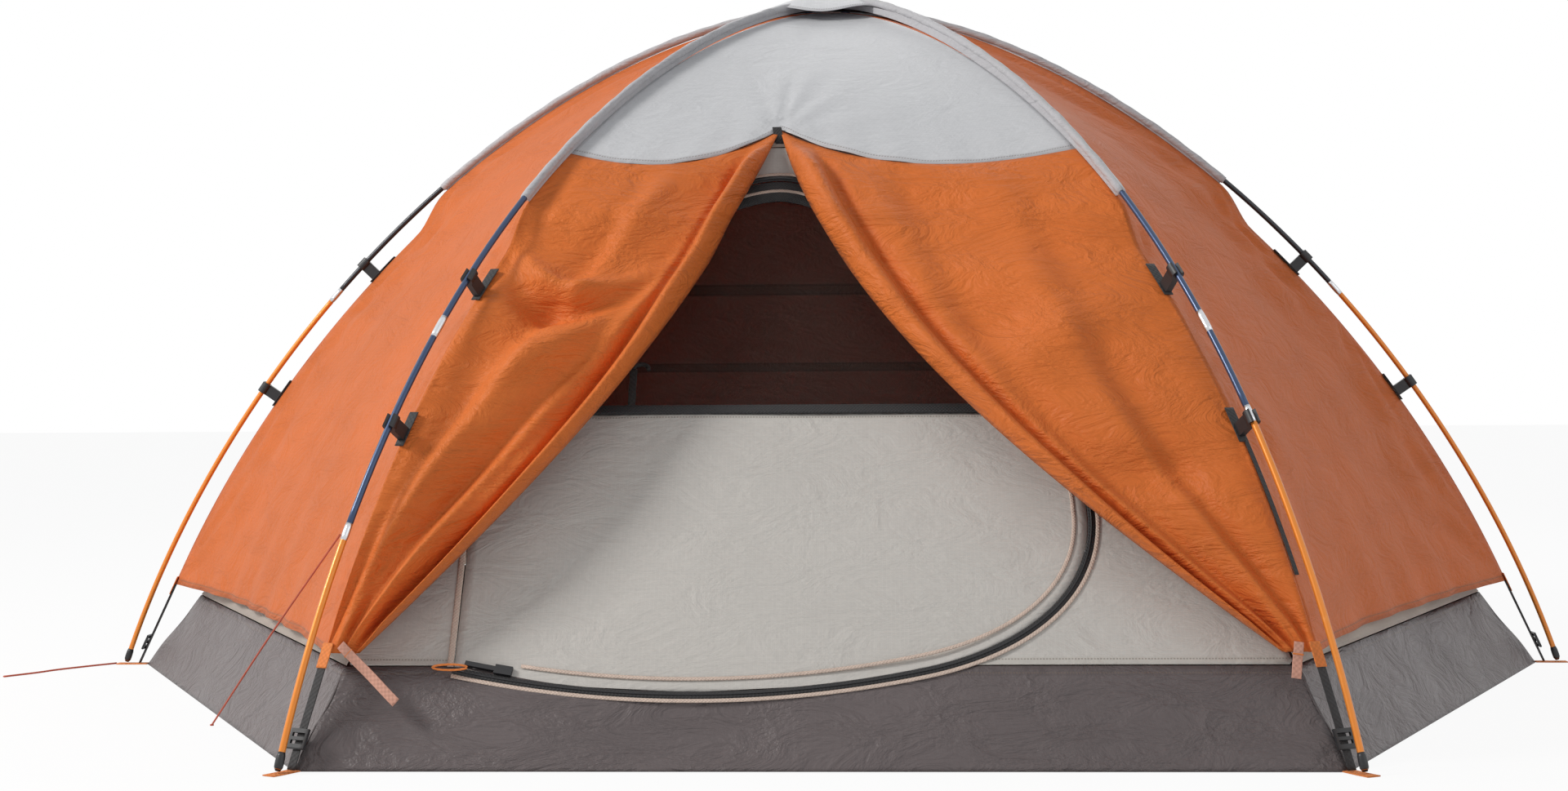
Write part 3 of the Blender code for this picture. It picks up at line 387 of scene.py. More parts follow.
def bend(foot, level):
    # half a pole as distance and height: one cubic curve from the foot's lean to level at the crown
    radius = footRadius(foot)
    crown = crownHeight + level * (poleSize["diameter"] + poleSize["gap"])
    reach = poleSize["sideFootReach"] if isSide(foot) else poleSize["footReach"]
    crownReach = poleSize["sideCrownReach"] if isSide(foot) else poleSize["crownReach"]
    knee = (radius - reach * math.cos(poleSize["lean"]), reach * math.sin(poleSize["lean"]))
    return bezier((radius, 0.0), knee, (crownReach, crown), (0.0, crown), np.linspace(0, 1, 1600))


def inset(curve, distance):
    # the half curve moved along its inward normal
    slope = unit(np.gradient(curve, axis=0))
    return curve + np.column_stack([-slope[:, 1], slope[:, 0]]) * np.asarray(distance).reshape(-1, 1)


def inPlane(foot, curve):
    return curve[:, :1] * outward(foot) + curve[:, 1:] * upward


def betweenHeights(curve, low, high, count):
    # evenly spaced points of a half curve between two heights
    inside = curve[(curve[:, 1] > low) & (curve[:, 1] < high)]
    ends = [[np.interp(z, curve[:, 1], curve[:, 0]), z] for z in (low, high)]
    kept = np.concatenate([ends[:1], inside, ends[1:]])
    length = runLength(kept)
    at = np.linspace(0, length[-1], count)
    return np.column_stack([np.interp(at, length, kept[:, k]) for k in (0, 1)])


# mesh helpers
def quads(rows, columns):
    # corner numbers of every cell of a grid, row by row
    i, j = np.meshgrid(np.arange(rows - 1), np.arange(columns - 1), indexing="ij")
    a = (i * columns + j).reshape(-1)
    return np.column_stack([a, a + 1, a + 1 + columns, a + columns])


def faceNormals(points, faces):
    corners = points[faces]
    return np.cross(corners[:, 2] - corners[:, 0], corners[:, 3] - corners[:, 1]) / 2, corners.mean(axis=1)


def gridPart(grid, uv=None, edges=None, away=(0, 0, 0)):
    # one grid as points, faces and its two maps, turned so its faces point away from a place inside
    rows, columns = grid.shape[:2]
    points, faces = grid.reshape(-1, 3), quads(rows, columns)
    normals, middles = faceNormals(points, faces)
    if np.sum(normals * (middles - np.asarray(away, float))) < 0:
        faces = faces[:, ::-1]
    if uv is None:
        uv = np.stack(np.meshgrid(runLength(grid[rows // 2]), runLength(grid[:, columns // 2])), axis=-1)
    if edges is None:
        edges = np.ones((rows, columns, 2))
    return points, faces, uv.reshape(-1, 2), edges.reshape(-1, 2)


def makePiece(name, parts, finish, body="tent", wall=0.0, stands=()):
    # joins grids into one object at the origin, welds their shared seams and gives a cloth its thickness
    offset, points, faces, uvs, edges = 0, [], [], [], []
    for partPoints, partFaces, uv, edge in parts:
        points.append(partPoints)
        faces.append(partFaces + offset)
        uvs.append(uv[partFaces.reshape(-1)])
        edges.append(edge[partFaces.reshape(-1)])
        offset += len(partPoints)
    points, faces = np.concatenate(points), np.concatenate(faces)
    mesh = bpy.data.meshes.new(name)
    mesh.from_pydata(points.tolist(), [], faces.tolist())
    for label, values in (("cut", uvs), ("edges", edges)):
        mesh.uv_layers.new(name=label).data.foreach_set("uv", np.concatenate(values).reshape(-1))
    shell = bmesh.new()
    shell.from_mesh(mesh)
    bmesh.ops.remove_doubles(shell, verts=shell.verts, dist=0.00001)
    bmesh.ops.dissolve_degenerate(shell, edges=shell.edges, dist=0.000005)
    shell.to_mesh(mesh)
    shell.free()
    mesh.shade_smooth()
    mesh.materials.append(finishes[finish])
    piece = bpy.data.objects.new(name, mesh)
    bpy.context.scene.collection.objects.link(piece)
    if wall:
        thick = piece.modifiers.new("cloth", "SOLIDIFY")
        thick.thickness, thick.offset = wall, -1.0
    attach(piece, body)
    if stands:
        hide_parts(*stands)
    return piece


def sweep(path, ring, across):
    # rings carried along a path and closed to a point at both ends
    length = runLength(path)
    ends = [np.repeat(path[k][None, None], ring.shape[1], axis=1) for k in (0, -1)]
    grid = np.concatenate([ends[0], path[:, None] + ring, ends[1]])
    length = np.concatenate([[0], length, [length[-1]]])
    return gridPart(grid, np.stack(np.broadcast_arrays(across, length[:, None]), axis=-1), away=path.mean(axis=0))


def tubePart(path, radius, sides=12):
    # a round ring along a path, its side direction kept level
    path = np.asarray(path, float)
    along = unit(np.gradient(path, axis=0))
    upright = np.linalg.norm(np.cross(path[-1] - path[0], upward)) < 1e-6
    side = np.mean(np.cross(along, [0, 1, 0] if upright else upward), axis=0)
    if np.linalg.norm(side) < 1e-6:
        side = np.array([1.0, 0.0, 0.0])
    side = unit(side - along * (along @ side)[:, None])
    top = np.cross(side, along)
    turn = np.linspace(0, 2 * math.pi, sides + 1)
    radius = np.broadcast_to(radius, (len(path),))
    ring = side[:, None] * np.cos(turn)[None, :, None] + top[:, None] * np.sin(turn)[None, :, None]
    return sweep(path, ring * radius[:, None, None], turn[None] * radius.mean())


def strapPart(path, wide, width, thickness):
    # a flat band with rounded edges along a path, its width along one direction
    path = np.asarray(path, float)
    wide = np.broadcast_to(np.asarray(wide, float), path.shape)
    face = unit(np.cross(unit(np.gradient(path, axis=0)), wide))
    turn, squareness = np.linspace(0, 2 * math.pi, 17), 0.35
    x = np.sign(np.cos(turn)) * abs(np.cos(turn)) ** squareness * width / 2
    y = np.sign(np.sin(turn)) * abs(np.sin(turn)) ** squareness * thickness / 2
    return sweep(path, wide[:, None] * x[None, :, None] + face[:, None] * y[None, :, None], x[None] + width)


def ripple(x, y, seed, scale, count=7):
    # a smooth uneven height from a few crossing waves with seeded directions, about -1 to 1
    random = np.random.default_rng(seed)
    angle, phase = random.uniform(0, 2 * math.pi, count), random.uniform(0, 2 * math.pi, count)
    size = scale * random.uniform(0.6, 1.6, count)
    total = np.zeros(np.broadcast(x, y).shape)
    for a, p, k in zip(angle, phase, size):
        total = total + np.sin(k * (x * math.cos(a) + y * math.sin(a)) + p)
    return total / count * 1.6


# cords: the guy line from the front left pole and the peg cord at the left foot
cordSize = {"guyDiameter": 0.0025, "pegDiameter": 0.0030,
            "guy": ((-0.5852, -1.0425, 0.2780), (-0.712, -0.889, 0.1400), (-0.832, -0.744, 0.0025)),
            "peg": ((-1.2098, -0.0010, 0.0018), (-1.240, -0.040, 0.0018), (-1.275, -0.090, 0.0018),
                    (-1.300, -0.140, 0.0018), (-1.330, -0.186, 0.0018))}


def smoothRoute(points, spacing):
    # evenly spaced points on a smooth curve through a few chosen ones
    points = np.asarray(points, float)
    ends = np.concatenate([[2 * points[0] - points[1]], points, [2 * points[-1] - points[-2]]])
    t = np.linspace(0, 1, 40, endpoint=False)[None, :, None]
    p0, p1, p2, p3 = (ends[i : i + len(points) - 1][:, None] for i in range(4))
    dense = 0.5 * (2 * p1 + (p2 - p0) * t + (2 * p0 - 5 * p1 + 4 * p2 - p3) * t**2
                   + (3 * p1 - p0 - 3 * p2 + p3) * t**3)
    dense = np.concatenate([dense.reshape(-1, 3), points[-1:]])
    length = runLength(dense)
    at = np.linspace(0, length[-1], max(16, int(length[-1] / spacing) + 1))
    return np.column_stack([np.interp(at, length, dense[:, k]) for k in range(3)]), length[-1]


def makeCord(name, points, diameter, node):
    route, length = smoothRoute(points, 0.012)
    piece = makePiece(name, [tubePart(route, diameter / 2, 10)], "redCord", stands=(node,))
    # the knot is a small ring of cord round the free end
    turn = np.linspace(0, 2 * math.pi, 9)[:, None]
    around = np.linspace(0, 2 * math.pi, 9)[None]
    thick = diameter * 0.42
    reach = diameter * 0.75 + thick * np.cos(around)
    knot = np.stack(np.broadcast_arrays(reach * np.cos(turn), reach * np.sin(turn), thick * np.sin(around)), axis=-1)
    knotPiece = makePiece(name + "_knot", [gridPart(knot + route[-1], away=route[-1])], "redCord")


makeCord("guy_line_cord", cordSize["guy"], cordSize["guyDiameter"], "guy_line")
makeCord("peg_cord", cordSize["peg"], cordSize["pegDiameter"], "peg_cord_left")
print("cords made")


# floor, world and lamps
lightSize = {"world": 0.36, "key": 120.0, "fill": 16.0, "back": 26.0, "floorWhite": 0.92}


def seenRays(tree):
    light = put(tree, "ShaderNodeLightPath")
    return calc(tree, "MAXIMUM", light.outputs["Is Camera Ray"],
                calc(tree, "MAXIMUM", light.outputs["Is Glossy Ray"], light.outputs["Is Transmission Ray"]))


def makeStage():
    # a white floor and world to the eye, and softer ones for the light that they give
    floorMesh = bpy.data.meshes.new("floor")
    floorMesh.from_pydata([(-30, -30, 0), (30, -30, 0), (30, 30, 0), (-30, 30, 0)], [], [(0, 1, 2, 3)])
    floor = bpy.data.objects.new("floor", floorMesh)
    floor.location = (0, 0, -0.0005)
    bpy.context.scene.collection.objects.link(floor)
    material, tree, shader = newFinish("paleFloor")
    place = put(tree, "ShaderNodeTexCoord").outputs["Object"]
    mottle = put(tree, "ShaderNodeTexNoise", {"Vector": place, "Scale": 2.0})
    tone = calc(tree, "ADD", calc(tree, "MULTIPLY", mottle.outputs["Fac"], 0.02), 0.93)
    give(tree, shader, {"Base Color": tone, "Roughness": 0.9})
    glow = put(tree, "ShaderNodeEmission", {"Color": (1, 1, 1, 1), "Strength": 1.0})
    seen = seenRays(tree)
    mixed = put(tree, "ShaderNodeMixShader", {0: calc(tree, "MULTIPLY", seen, lightSize["floorWhite"]),
                                              1: shader.outputs[0], 2: glow.outputs[0]})
    give(tree, tree.nodes["Material Output"], {"Surface": mixed.outputs[0]})
    floorMesh.materials.append(material)
    world = bpy.data.worlds.new("studio")
    world.use_nodes = True
    tree = world.node_tree
    tree.nodes.clear()
    seen = seenRays(tree)
    soft = put(tree, "ShaderNodeBackground", {"Color": (0.96, 0.98, 1.0, 1), "Strength": lightSize["world"]})
    plain = put(tree, "ShaderNodeBackground", {"Color": (1, 1, 1, 1), "Strength": 1.0})
    mixed = put(tree, "ShaderNodeMixShader", {0: seen, 1: soft.outputs[0], 2: plain.outputs[0]})
    put(tree, "ShaderNodeOutputWorld", {0: mixed.outputs[0]})
    bpy.context.scene.world = world
    for name, place, size, power, colour in (
            ("keyLamp", (-3.6, -1.9, 3.0), 1.2, lightSize["key"], (1.0, 0.985, 0.96)),
            ("fillLamp", (3.4, -3.0, 2.2), 2.6, lightSize["fill"], (0.97, 0.985, 1.0)),
            ("backLamp", (0.6, 3.4, 3.2), 2.6, lightSize["back"], (1.0, 1.0, 1.0))):
        data = bpy.data.lights.new(name, "AREA")
        data.energy, data.size, data.color = power, size, colour
        lamp = bpy.data.objects.new(name, data)
        aim = Vector((0.0, 0.0, 0.4)) - Vector(place)
        lamp.matrix_world = Matrix.Translation(place) @ aim.to_track_quat("-Z", "Y").to_matrix().to_4x4()
        bpy.context.scene.collection.objects.link(lamp)
    bpy.context.scene.view_settings.view_transform = "Standard"


makeStage()
print("floor and lamps placed")


# poles: lower sections, arches, ferrules and end caps
def sectionTop(foot):
    if isSide(foot):
        return poleSize["sideTop"]
    return poleSize["leftTop"] if foot in ("front_left", "rear_right") else poleSize["rightTop"]


def makePoles():
    radius = poleSize["diameter"] / 2
    for name, (first, second, level) in poleNames.items():
        arches = []
        for foot in (first, second):
            curve, top = bend(foot, level), sectionTop(foot)
            lower = inPlane(foot, betweenHeights(curve, poleSize["tip"], top - poleSize["gap"] / 2, 30))
            makePiece("pole_foot_tube_" + foot, [tubePart(lower, radius, 16)], "poleOrange",
                      stands=("pole_foot_" + foot,))
            cap = inPlane(foot, betweenHeights(curve, poleSize["tip"] - 0.002, poleSize["capTop"], 6))
            makePiece("pole_tip_" + foot, [tubePart(cap, np.array([0.7, 1.25, 1.3, 1.3, 1.25, 1.02]) * radius, 16)],
                      "blackPlastic")
            arches.append(inPlane(foot, betweenHeights(curve, top + poleSize["gap"], curve[-1, 1], 46)))
            # a collar where two sections meet, and a longer one higher up on the four diagonal feet
            collars = [(top - 0.010, top + 0.010, (1.02, 1.10, 1.12, 1.10, 1.02))]
            if not isSide(foot):
                collars.append((*poleSize["collar"], (1.04, 1.14, 1.16, 1.16, 1.14, 1.04)))
            rings = [tubePart(inPlane(foot, betweenHeights(curve, low, high, len(swell))), radius * np.array(swell), 16)
                     for low, high, swell in collars]
            makePiece("pole_ferrules_" + foot, rings, "ferrule")
        path = np.concatenate([arches[0], arches[1][::-1][1:]])
        makePiece("pole_arch_tube_" + name, [tubePart(path, radius, 16)],
                  "poleBlack" if name == "across" else "poleBlue", stands=("pole_arch_" + name,))


makePoles()
print("poles made")


# fly
flySize = {"sleeveWall": 0.0030, "sleevePlay": 0.0004, "dropAtClips": 0.030, "blendHeight": 0.060,
           "sleeveDrop": 0.383, "sleeveDropSide": 0.301, "hem": 0.135, "hemRise": 0.003, "sag": 0.028,
           "seamGap": 0.0004, "roofDrop": 0.313, "apexRise": 0.052, "edgeDip": 0.013, "apex": 0.402,
           "flapFoot": 0.034, "flapBow": 0.030, "flapFootHeight": 0.136, "flapBelly": 0.012, "cloth": 0.0007,
           "rearRoofDrop": 0.305}


def sleeveEnd(foot):
    return crownHeight - (flySize["sleeveDropSide"] if isSide(foot) else flySize["sleeveDrop"])


def flyCorner(foot, depth):
    # the seam under a pole: close under the sleeve and lower along the clips, eased between the two
    curve = bend(foot, -1)
    close = poleSize["diameter"] / 2 + flySize["sleevePlay"] + flySize["sleeveWall"] + poleSize["gap"]
    rise = np.clip((sleeveEnd(foot) - curve[:, 1]) / flySize["blendHeight"], 0, 1)
    eased = rise * rise * (3 - 2 * rise)
    return inset(curve, close + (flySize["dropAtClips"] - close) * eased + depth)


def turnOf(height, crown):
    return np.arcsin(np.clip(np.asarray(height, float) / crown, 0, 1)) / (math.pi / 2)


def cornerAt(foot, turn, depth):
    curve = flyCorner(foot, depth)
    crown = curve[-1, 1]
    radius = np.interp(turn, turnOf(curve[:, 1], crown), curve[:, 0])
    return radius[..., None] * outward(foot) + (crown * np.sin(np.asarray(turn) * math.pi / 2))[..., None] * upward


def flyPoint(sector, share, turn, depth=0.0, lift=0.0):
    # between two pole seams at one turn from ground to crown, the middle drawn in, then lifted outwards
    share, turn = np.broadcast_arrays(np.asarray(share, float), np.asarray(turn, float))
    first, second = sectors[sector]
    a, b = cornerAt(first, turn, depth), cornerAt(second, turn, depth)
    width = np.maximum(np.linalg.norm(b - a, axis=-1, keepdims=True), 1e-6)
    a, b = a + (b - a) / width * flySize["seamGap"] / 2, b - (b - a) / width * flySize["seamGap"] / 2
    middle = between(first, second)
    high = np.sin(turn * math.pi / 2)[..., None]
    outside = middle * np.sqrt(1 - high**2) + upward * high
    drawn = flySize["sag"] * width[..., 0] * 4 * share * (1 - share) - lift
    return a + (b - a) * share[..., None] - outside * drawn[..., None]


flyCrown = flyCorner("left", 0.0)[-1, 1]


def roofEdge(share):
    corner = crownHeight - flySize["roofDrop"]
    reach = np.where(share < flySize["apex"], share / flySize["apex"], (1 - share) / (1 - flySize["apex"]))
    return corner + flySize["apexRise"] * reach**3 - flySize["edgeDip"] * np.sin(math.pi * reach)


def areaOf(grid):
    normals, _ = faceNormals(grid.reshape(-1, 3), quads(*grid.shape[:2]))
    return float(np.linalg.norm(normals, axis=1).sum())


def declareSheet(piece, grids):
    # the flat cut is the sheet's own widest width and its length down the middle
    grids = grids if isinstance(grids, list) else [grids]
    area = sum(areaOf(grid) for grid in grids)
    width = max(float(np.linalg.norm(np.diff(grid, axis=1), axis=2).sum(axis=1).max()) for grid in grids)
    length = max(float(np.linalg.norm(np.diff(grid[:, grid.shape[1] // 2], axis=0), axis=1).sum()) for grid in grids)
    if area > width * length or area < 0.3 * width * length:
        length = area / width / 0.8
    print(piece.name, "flat", round(width, 3), round(length, 3), "area", round(area, 3))


def fan(share, rise, anchorShare, anchorRise, count, reach):
    # folds that fan out of one pulled point and fade away from it
    dx, dy = (share - anchorShare) * 1.1, rise - anchorRise
    distance = np.hypot(dx, dy)
    fading = np.exp(-distance / reach) * np.clip(distance / 0.05, 0, 1)
    return np.sin(count * np.arctan2(dy, dx) + 2.0 * anchorRise * count) * fading


def panelFolds(share, rise, seed):
    # puckers above the hem, fans from the corners and the clip points, and a slow billow
    inside = np.sin(math.pi * share) ** 0.5
    hem = 0.0034 * np.sin(46 * share + 5 * ripple(share, rise, seed, 3.0)) * np.exp(-rise / 0.13)
    fans = 0
    for anchorShare, anchorRise in ((0, 0.0), (1, 0.0), (0, 0.30), (1, 0.30), (0, 0.52), (1, 0.52)):
        fans = fans + 0.0085 * fan(share, rise, anchorShare, anchorRise, 13, 0.24)
    slow = 0.0105 * ripple(share, rise * 1.4, seed + 5, 7.0)
    return (hem + fans + slow) * inside * np.clip((1 - rise) / 0.12, 0, 1)


def makePanel(sector, seed):
    shares = np.linspace(0, 1, 73)
    low = turnOf(flySize["hem"] + flySize["hemRise"] * 4 * shares * (1 - shares), flyCrown)
    rise = np.linspace(0, 1, 101)[:, None]
    turns = low + (1.0 - low) * rise
    share = np.broadcast_to(shares, turns.shape)
    rises = np.broadcast_to(rise, turns.shape)
    grid = flyPoint(sector, share, turns, 0.0, panelFolds(share, rises, seed))
    grid[-1] = grid[-1].mean(axis=0)
    width = np.linalg.norm(grid[:, -1] - grid[:, 0], axis=1)[:, None]
    up = turns * math.pi / 2 * flyCrown
    cut = np.stack([share * width, up], axis=-1)
    roof = crownHeight - flySize["rearRoofDrop"] - 0.016 * np.sin(math.pi * shares)
    roofLine = turnOf(roof, flyCrown) * math.pi / 2 * flyCrown
    if sector not in ("rear_left", "rear_right"):
        # these panels have no roof seam, so its line lies far above them
        roofLine = roofLine + 4.0
    edges = np.stack(np.broadcast_arrays(up - roofLine, (turns - low) * math.pi / 2 * flyCrown), axis=-1)
    piece = makePiece("fly_panel_" + sector, [gridPart(grid, cut, edges)],
                      "flyTwoTone" if sector.startswith("rear_") else "flyOrange",
                      wall=flySize["cloth"], stands=("fly_" + sector,))
    declareSheet(piece, grid)


def makeRoof():
    shares = np.concatenate([np.linspace(0, flySize["apex"], 37), np.linspace(flySize["apex"], 1, 49)[1:]])
    low = turnOf(roofEdge(shares), flyCrown)
    rise = np.linspace(0, 1, 61)[:, None]
    turns = low + (1.0 - low) * rise
    share, rises = np.broadcast_to(shares, turns.shape), np.broadcast_to(rise, turns.shape)
    inside = np.sin(math.pi * share) ** 0.5 * np.clip((1 - rises) / 0.15, 0, 1)
    apexFan = 0.0030 * fan(share, rises, flySize["apex"], 0.0, 15, 0.16)
    hem = 0.0012 * np.sin(60 * share) * np.exp(-rises / 0.08)
    lift = (apexFan + hem + 0.0035 * ripple(share, rises, 41, 7.0)) * inside
    grid = flyPoint("front", share, turns, 0.0, lift)
    grid[-1] = grid[-1].mean(axis=0)
    width = np.linalg.norm(grid[:, -1] - grid[:, 0], axis=1)[:, None]
    up = turns * math.pi / 2 * flyCrown
    edges = np.stack([np.ones_like(up), (turns - low) * math.pi / 2 * flyCrown], axis=-1)
    piece = makePiece("fly_roof_panel", [gridPart(grid, np.stack([share * width, up], axis=-1), edges)], "roofWhite",
                      wall=flySize["cloth"], stands=("fly_roof_front",))
    declareSheet(piece, grid)


def bump(value, centre, width):
    return np.exp(-(((value - centre) / width) ** 2))


def makeFlap(name, mirrored):
    # sewn along the pole and the roof edge; the free edge is rolled into a soft band and gathered at the foot
    across = np.linspace(0, 1, 97)[None, :]
    down = np.linspace(0, 1, 141)[:, None]
    apex = 1 - flySize["apex"] if mirrored else flySize["apex"]
    roof = roofEdge(1 - across * apex if mirrored else across * apex) - flySize["seamGap"]
    height = roof + (flySize["flapFootHeight"] - roof) * down
    free = apex + (flySize["flapFoot"] - apex) * down + flySize["flapBow"] * np.sin(math.pi * down)
    share = across * (free - flySize["seamGap"] * (1 - down))
    across, down = np.broadcast_arrays(across, down)
    lift = flySize["flapBelly"] * np.sin(math.pi * across) ** 2 * np.sin(math.pi * down)
    held = np.sin(math.pi * np.clip(across, 0, 1)) ** 0.6
    ease = np.clip(down / 0.08, 0, 1) * np.clip((1 - down) / 0.05, 0, 1)
    seed = 71 if mirrored else 23
    swing = 2 * math.pi * (2.6 * across + 0.30 * np.sin(4 * down + seed)) + 3 * down
    lines = np.sin(swing + 0.6 * np.sin(swing))
    folds = 0.0125 * lines * (0.30 + 0.70 * down) + 0.0110 * ripple(across * 1.2, down * 2.2, seed, 8.0)
    if not mirrored:
        sagLine = 0.20 + 0.10 * across * (1 - across) * 4
        crease = 0.030 * bump(down, sagLine, 0.022) - 0.030 * bump(down, sagLine + 0.046, 0.026)
        folds = folds + crease * bump(across, 0.36, 0.26)
        folds = folds + 0.022 * bump(down, 0.52 - 0.18 * across, 0.05) * bump(across, 0.5, 0.3)
    else:
        folds = folds + 0.022 * bump(down, 0.30 + 0.22 * across, 0.05) * bump(across, 0.45, 0.3)
        folds = folds - 0.020 * bump(down, 0.62 + 0.10 * across, 0.05) * bump(across, 0.4, 0.3)
    rolled = np.clip((across - 0.87) / 0.13, 0, 1)
    roll = 0.024 * np.sin(math.pi * rolled) ** 0.7 - 0.004 * rolled**4 - 0.009 * bump(across, 0.85, 0.03)
    foot = np.clip((down - 0.86) / 0.12, 0, 1) * np.clip((1 - down) / 0.03, 0, 1)
    gathered = 0.006 * np.sin(2 * math.pi * 5 * across) * foot
    lift = lift + (folds * held * (1 - 0.8 * rolled) + roll * np.clip(down / 0.05, 0, 1) + gathered * held) * ease
    if mirrored:
        share = 1 - share
    grid = flyPoint("front", share, turnOf(height, flyCrown), 0.0, lift)
    piece = makePiece(name + "_cloth", [gridPart(grid)], "flapOrange", wall=flySize["cloth"], stands=(name,))
    declareSheet(piece, grid)


def makeSleeves():
    # a soft tube of cloth round each upper pole, puckered by its stitches
    for foot in feetOrder:
        curve = bend(foot, levelOf(foot))
        high = np.interp(-0.080, -curve[:, 0], curve[:, 1])
        path = inPlane(foot, betweenHeights(curve, sleeveEnd(foot), high, 60))
        steps = np.linspace(0, 1, 60)
        pucker = 0.0004 * np.sin(90 * steps) + 0.0003 * np.sin(37 * steps)
        radius = poleSize["diameter"] / 2 + flySize["sleevePlay"] + 0.0011 + pucker
        # the sleeve's fin: a thin band from the fly's seam up to the pole
        low = flyCorner(foot, 0.0)
        under = path[:, 2] - 0.004
        seam = inPlane(foot, np.column_stack([np.interp(under, low[:, 1], low[:, 0]), under]))
        foldLine = (seam + path) / 2
        reach = path - seam
        tall = np.linalg.norm(reach, axis=1, keepdims=True)
        fin = strapPart(foldLine, reach / tall, float(np.median(tall)), 0.0009)
        makePiece("sleeve_cloth_" + foot, [tubePart(path, radius, 14), fin], "sleeveGrey", stands=("sleeve_" + foot,))


capSize = {"radius": 0.150, "drop": 0.016}
tabSize = {"side": (0.465, 0.672), "diagonal": (0.415, 0.605), "tail": (0.225, 0.390)}


def makeCrownCap():
    # a round patch of roof cloth drawn down over the crossing poles: high in the middle, level with them at its rim
    turn = np.linspace(0, 2 * math.pi, 97)[None]
    out = np.linspace(0, 1, 16)[:, None]
    radius = capSize["radius"] * out
    arch = bend("front_left", 1)
    height = np.interp(-radius, -arch[:, 0], arch[:, 1]) + poleSize["diameter"] / 2 + 0.0016
    height = height - capSize["drop"] * out**2 * (1 - 0.35 * np.cos(6 * turn + 0.4))
    grid = np.stack(np.broadcast_arrays(radius * np.cos(turn), radius * np.sin(turn), height), axis=-1)
    edges = np.stack(np.broadcast_arrays(np.ones_like(turn), capSize["radius"] - radius), axis=-1)
    piece = makePiece("crown_cap", [gridPart(grid, grid[..., :2].copy(), edges)], "roofWhite", wall=flySize["cloth"])
    declareSheet(piece, grid)


def makeClipTabs():
    # short webbing tabs from each clip's seam along the fly, and a loose tail at the front right
    for foot in feetOrder:
        seam = flyCorner(foot, -0.0012)
        for label, height in zip(("low", "high"), tabSize["side" if isSide(foot) else "diagonal"]):
            line = inPlane(foot, betweenHeights(seam, height - 0.030, height + 0.012, 12))
            makePiece("clip_tab_" + foot + "_" + label, [strapPart(line, crosswise(foot), 0.014, 0.0016)],
                      "blackWebbing")
    line = betweenHeights(flyCorner("front_right", -0.0012), *tabSize["tail"], 30)
    drop = inPlane("front_right", line) + crosswise("front_right") * 0.004
    makePiece("seam_elastic_right", [strapPart(drop, crosswise("front_right"), 0.006, 0.0016)], "blackWebbing")


for index, sector in enumerate(("left", "right", "back", "rear_left", "rear_right")):
    makePanel(sector, 10 + index * 7)
makeRoof()
makeFlap("flap_left", False)
makeFlap("flap_right", True)
makeSleeves()
makeCrownCap()
print("fly made")


# inner tent
innerSize = {"insetDiagonal": 0.029, "insetSide": 0.037, "lean": math.radians(51.8), "kneeDrop": 0.300,
             "crownDrop": 0.120, "shoulder": 0.100, "topReach": 0.220, "tub": 0.116, "margin": 0.004, "cloth": 0.0015,
             "seams": (0.505, 0.655)}
doorSize = {"hingeX": -0.445, "hingeFoot": 0.140, "hingeTop": 0.480, "arcRadius": 1.260, "arcX": -0.154,
            "arcEndX": 0.130, "rightX": 0.338, "rightUp": 0.350, "topX": -0.060, "topUp": 0.906, "split": 0.516,
            "corner": 0.115, "sideReach": 0.260, "topReach": 0.130, "play": 0.0005}


def innerRadius(foot, height):
    gone = innerSize["insetSide"] if isSide(foot) else innerSize["insetDiagonal"]
    return footRadius(foot) - gone - np.asarray(height, float) / math.tan(innerSize["lean"])


def innerPlan(foot, height):
    height = np.asarray(height, float)
    return innerRadius(foot, height)[..., None] * outward(foot) + height[..., None] * upward


frontLow, frontHigh = innerPlan("front_left", 0.0), innerPlan("front_left", 0.5)
frontSlope = np.array([0.0, frontHigh[1] - frontLow[1], frontHigh[2]])
frontSlope /= np.linalg.norm(frontSlope)
frontNormal = np.array([0.0, -frontSlope[2], frontSlope[1]])
frontStart = np.array([0.0, frontLow[1], 0.0])


def onFront(x, up, out=0.0):
    x, up, out = np.broadcast_arrays(np.asarray(x, float), np.asarray(up, float), np.asarray(out, float))
    return frontStart + x[..., None] * np.array([1.0, 0, 0]) + up[..., None] * frontSlope + out[..., None] * frontNormal


arcCentre = doorSize["hingeFoot"] + math.sqrt(doorSize["arcRadius"] ** 2 - (doorSize["hingeX"] - doorSize["arcX"]) ** 2)


def doorOutline(count=30):
    # bottom arc, rounded corner, leaning side and arched top, from the hinge's foot round to its head
    d = doorSize
    x = np.linspace(d["hingeX"], d["arcEndX"], count)
    bottom = np.column_stack([x, arcCentre - np.sqrt(d["arcRadius"] ** 2 - (x - d["arcX"]) ** 2)])
    tilt = math.asin((d["arcEndX"] - d["arcX"]) / d["arcRadius"])
    leave = bottom[-1] + d["corner"] * np.array([math.cos(tilt), math.sin(tilt)])
    steps = np.linspace(0, 1, count)[1:]
    corner = bezier(bottom[-1], leave, (d["rightX"], d["rightUp"] - d["corner"]), (d["rightX"], d["rightUp"]), steps)
    side = bezier((d["rightX"], d["rightUp"]), (d["rightX"], d["rightUp"] + d["sideReach"]),
                  (d["topX"] + d["topReach"], d["topUp"]), (d["topX"], d["topUp"]), steps)
    arch = bezier((d["topX"], d["topUp"]), (d["topX"] - d["topReach"], d["topUp"]),
                  (d["hingeX"], d["hingeTop"] + d["sideReach"] * 0.75), (d["hingeX"], d["hingeTop"]), steps)
    return np.concatenate([bottom, corner, side, arch])


def sideways(line):
    # unit vectors pointing out of the door, across its outline
    slope = unit(np.gradient(line, axis=0))
    return np.column_stack([slope[:, 1], -slope[:, 0]])


outline = doorOutline()
outlineSide = sideways(outline)
knee = crownHeight - innerSize["kneeDrop"]


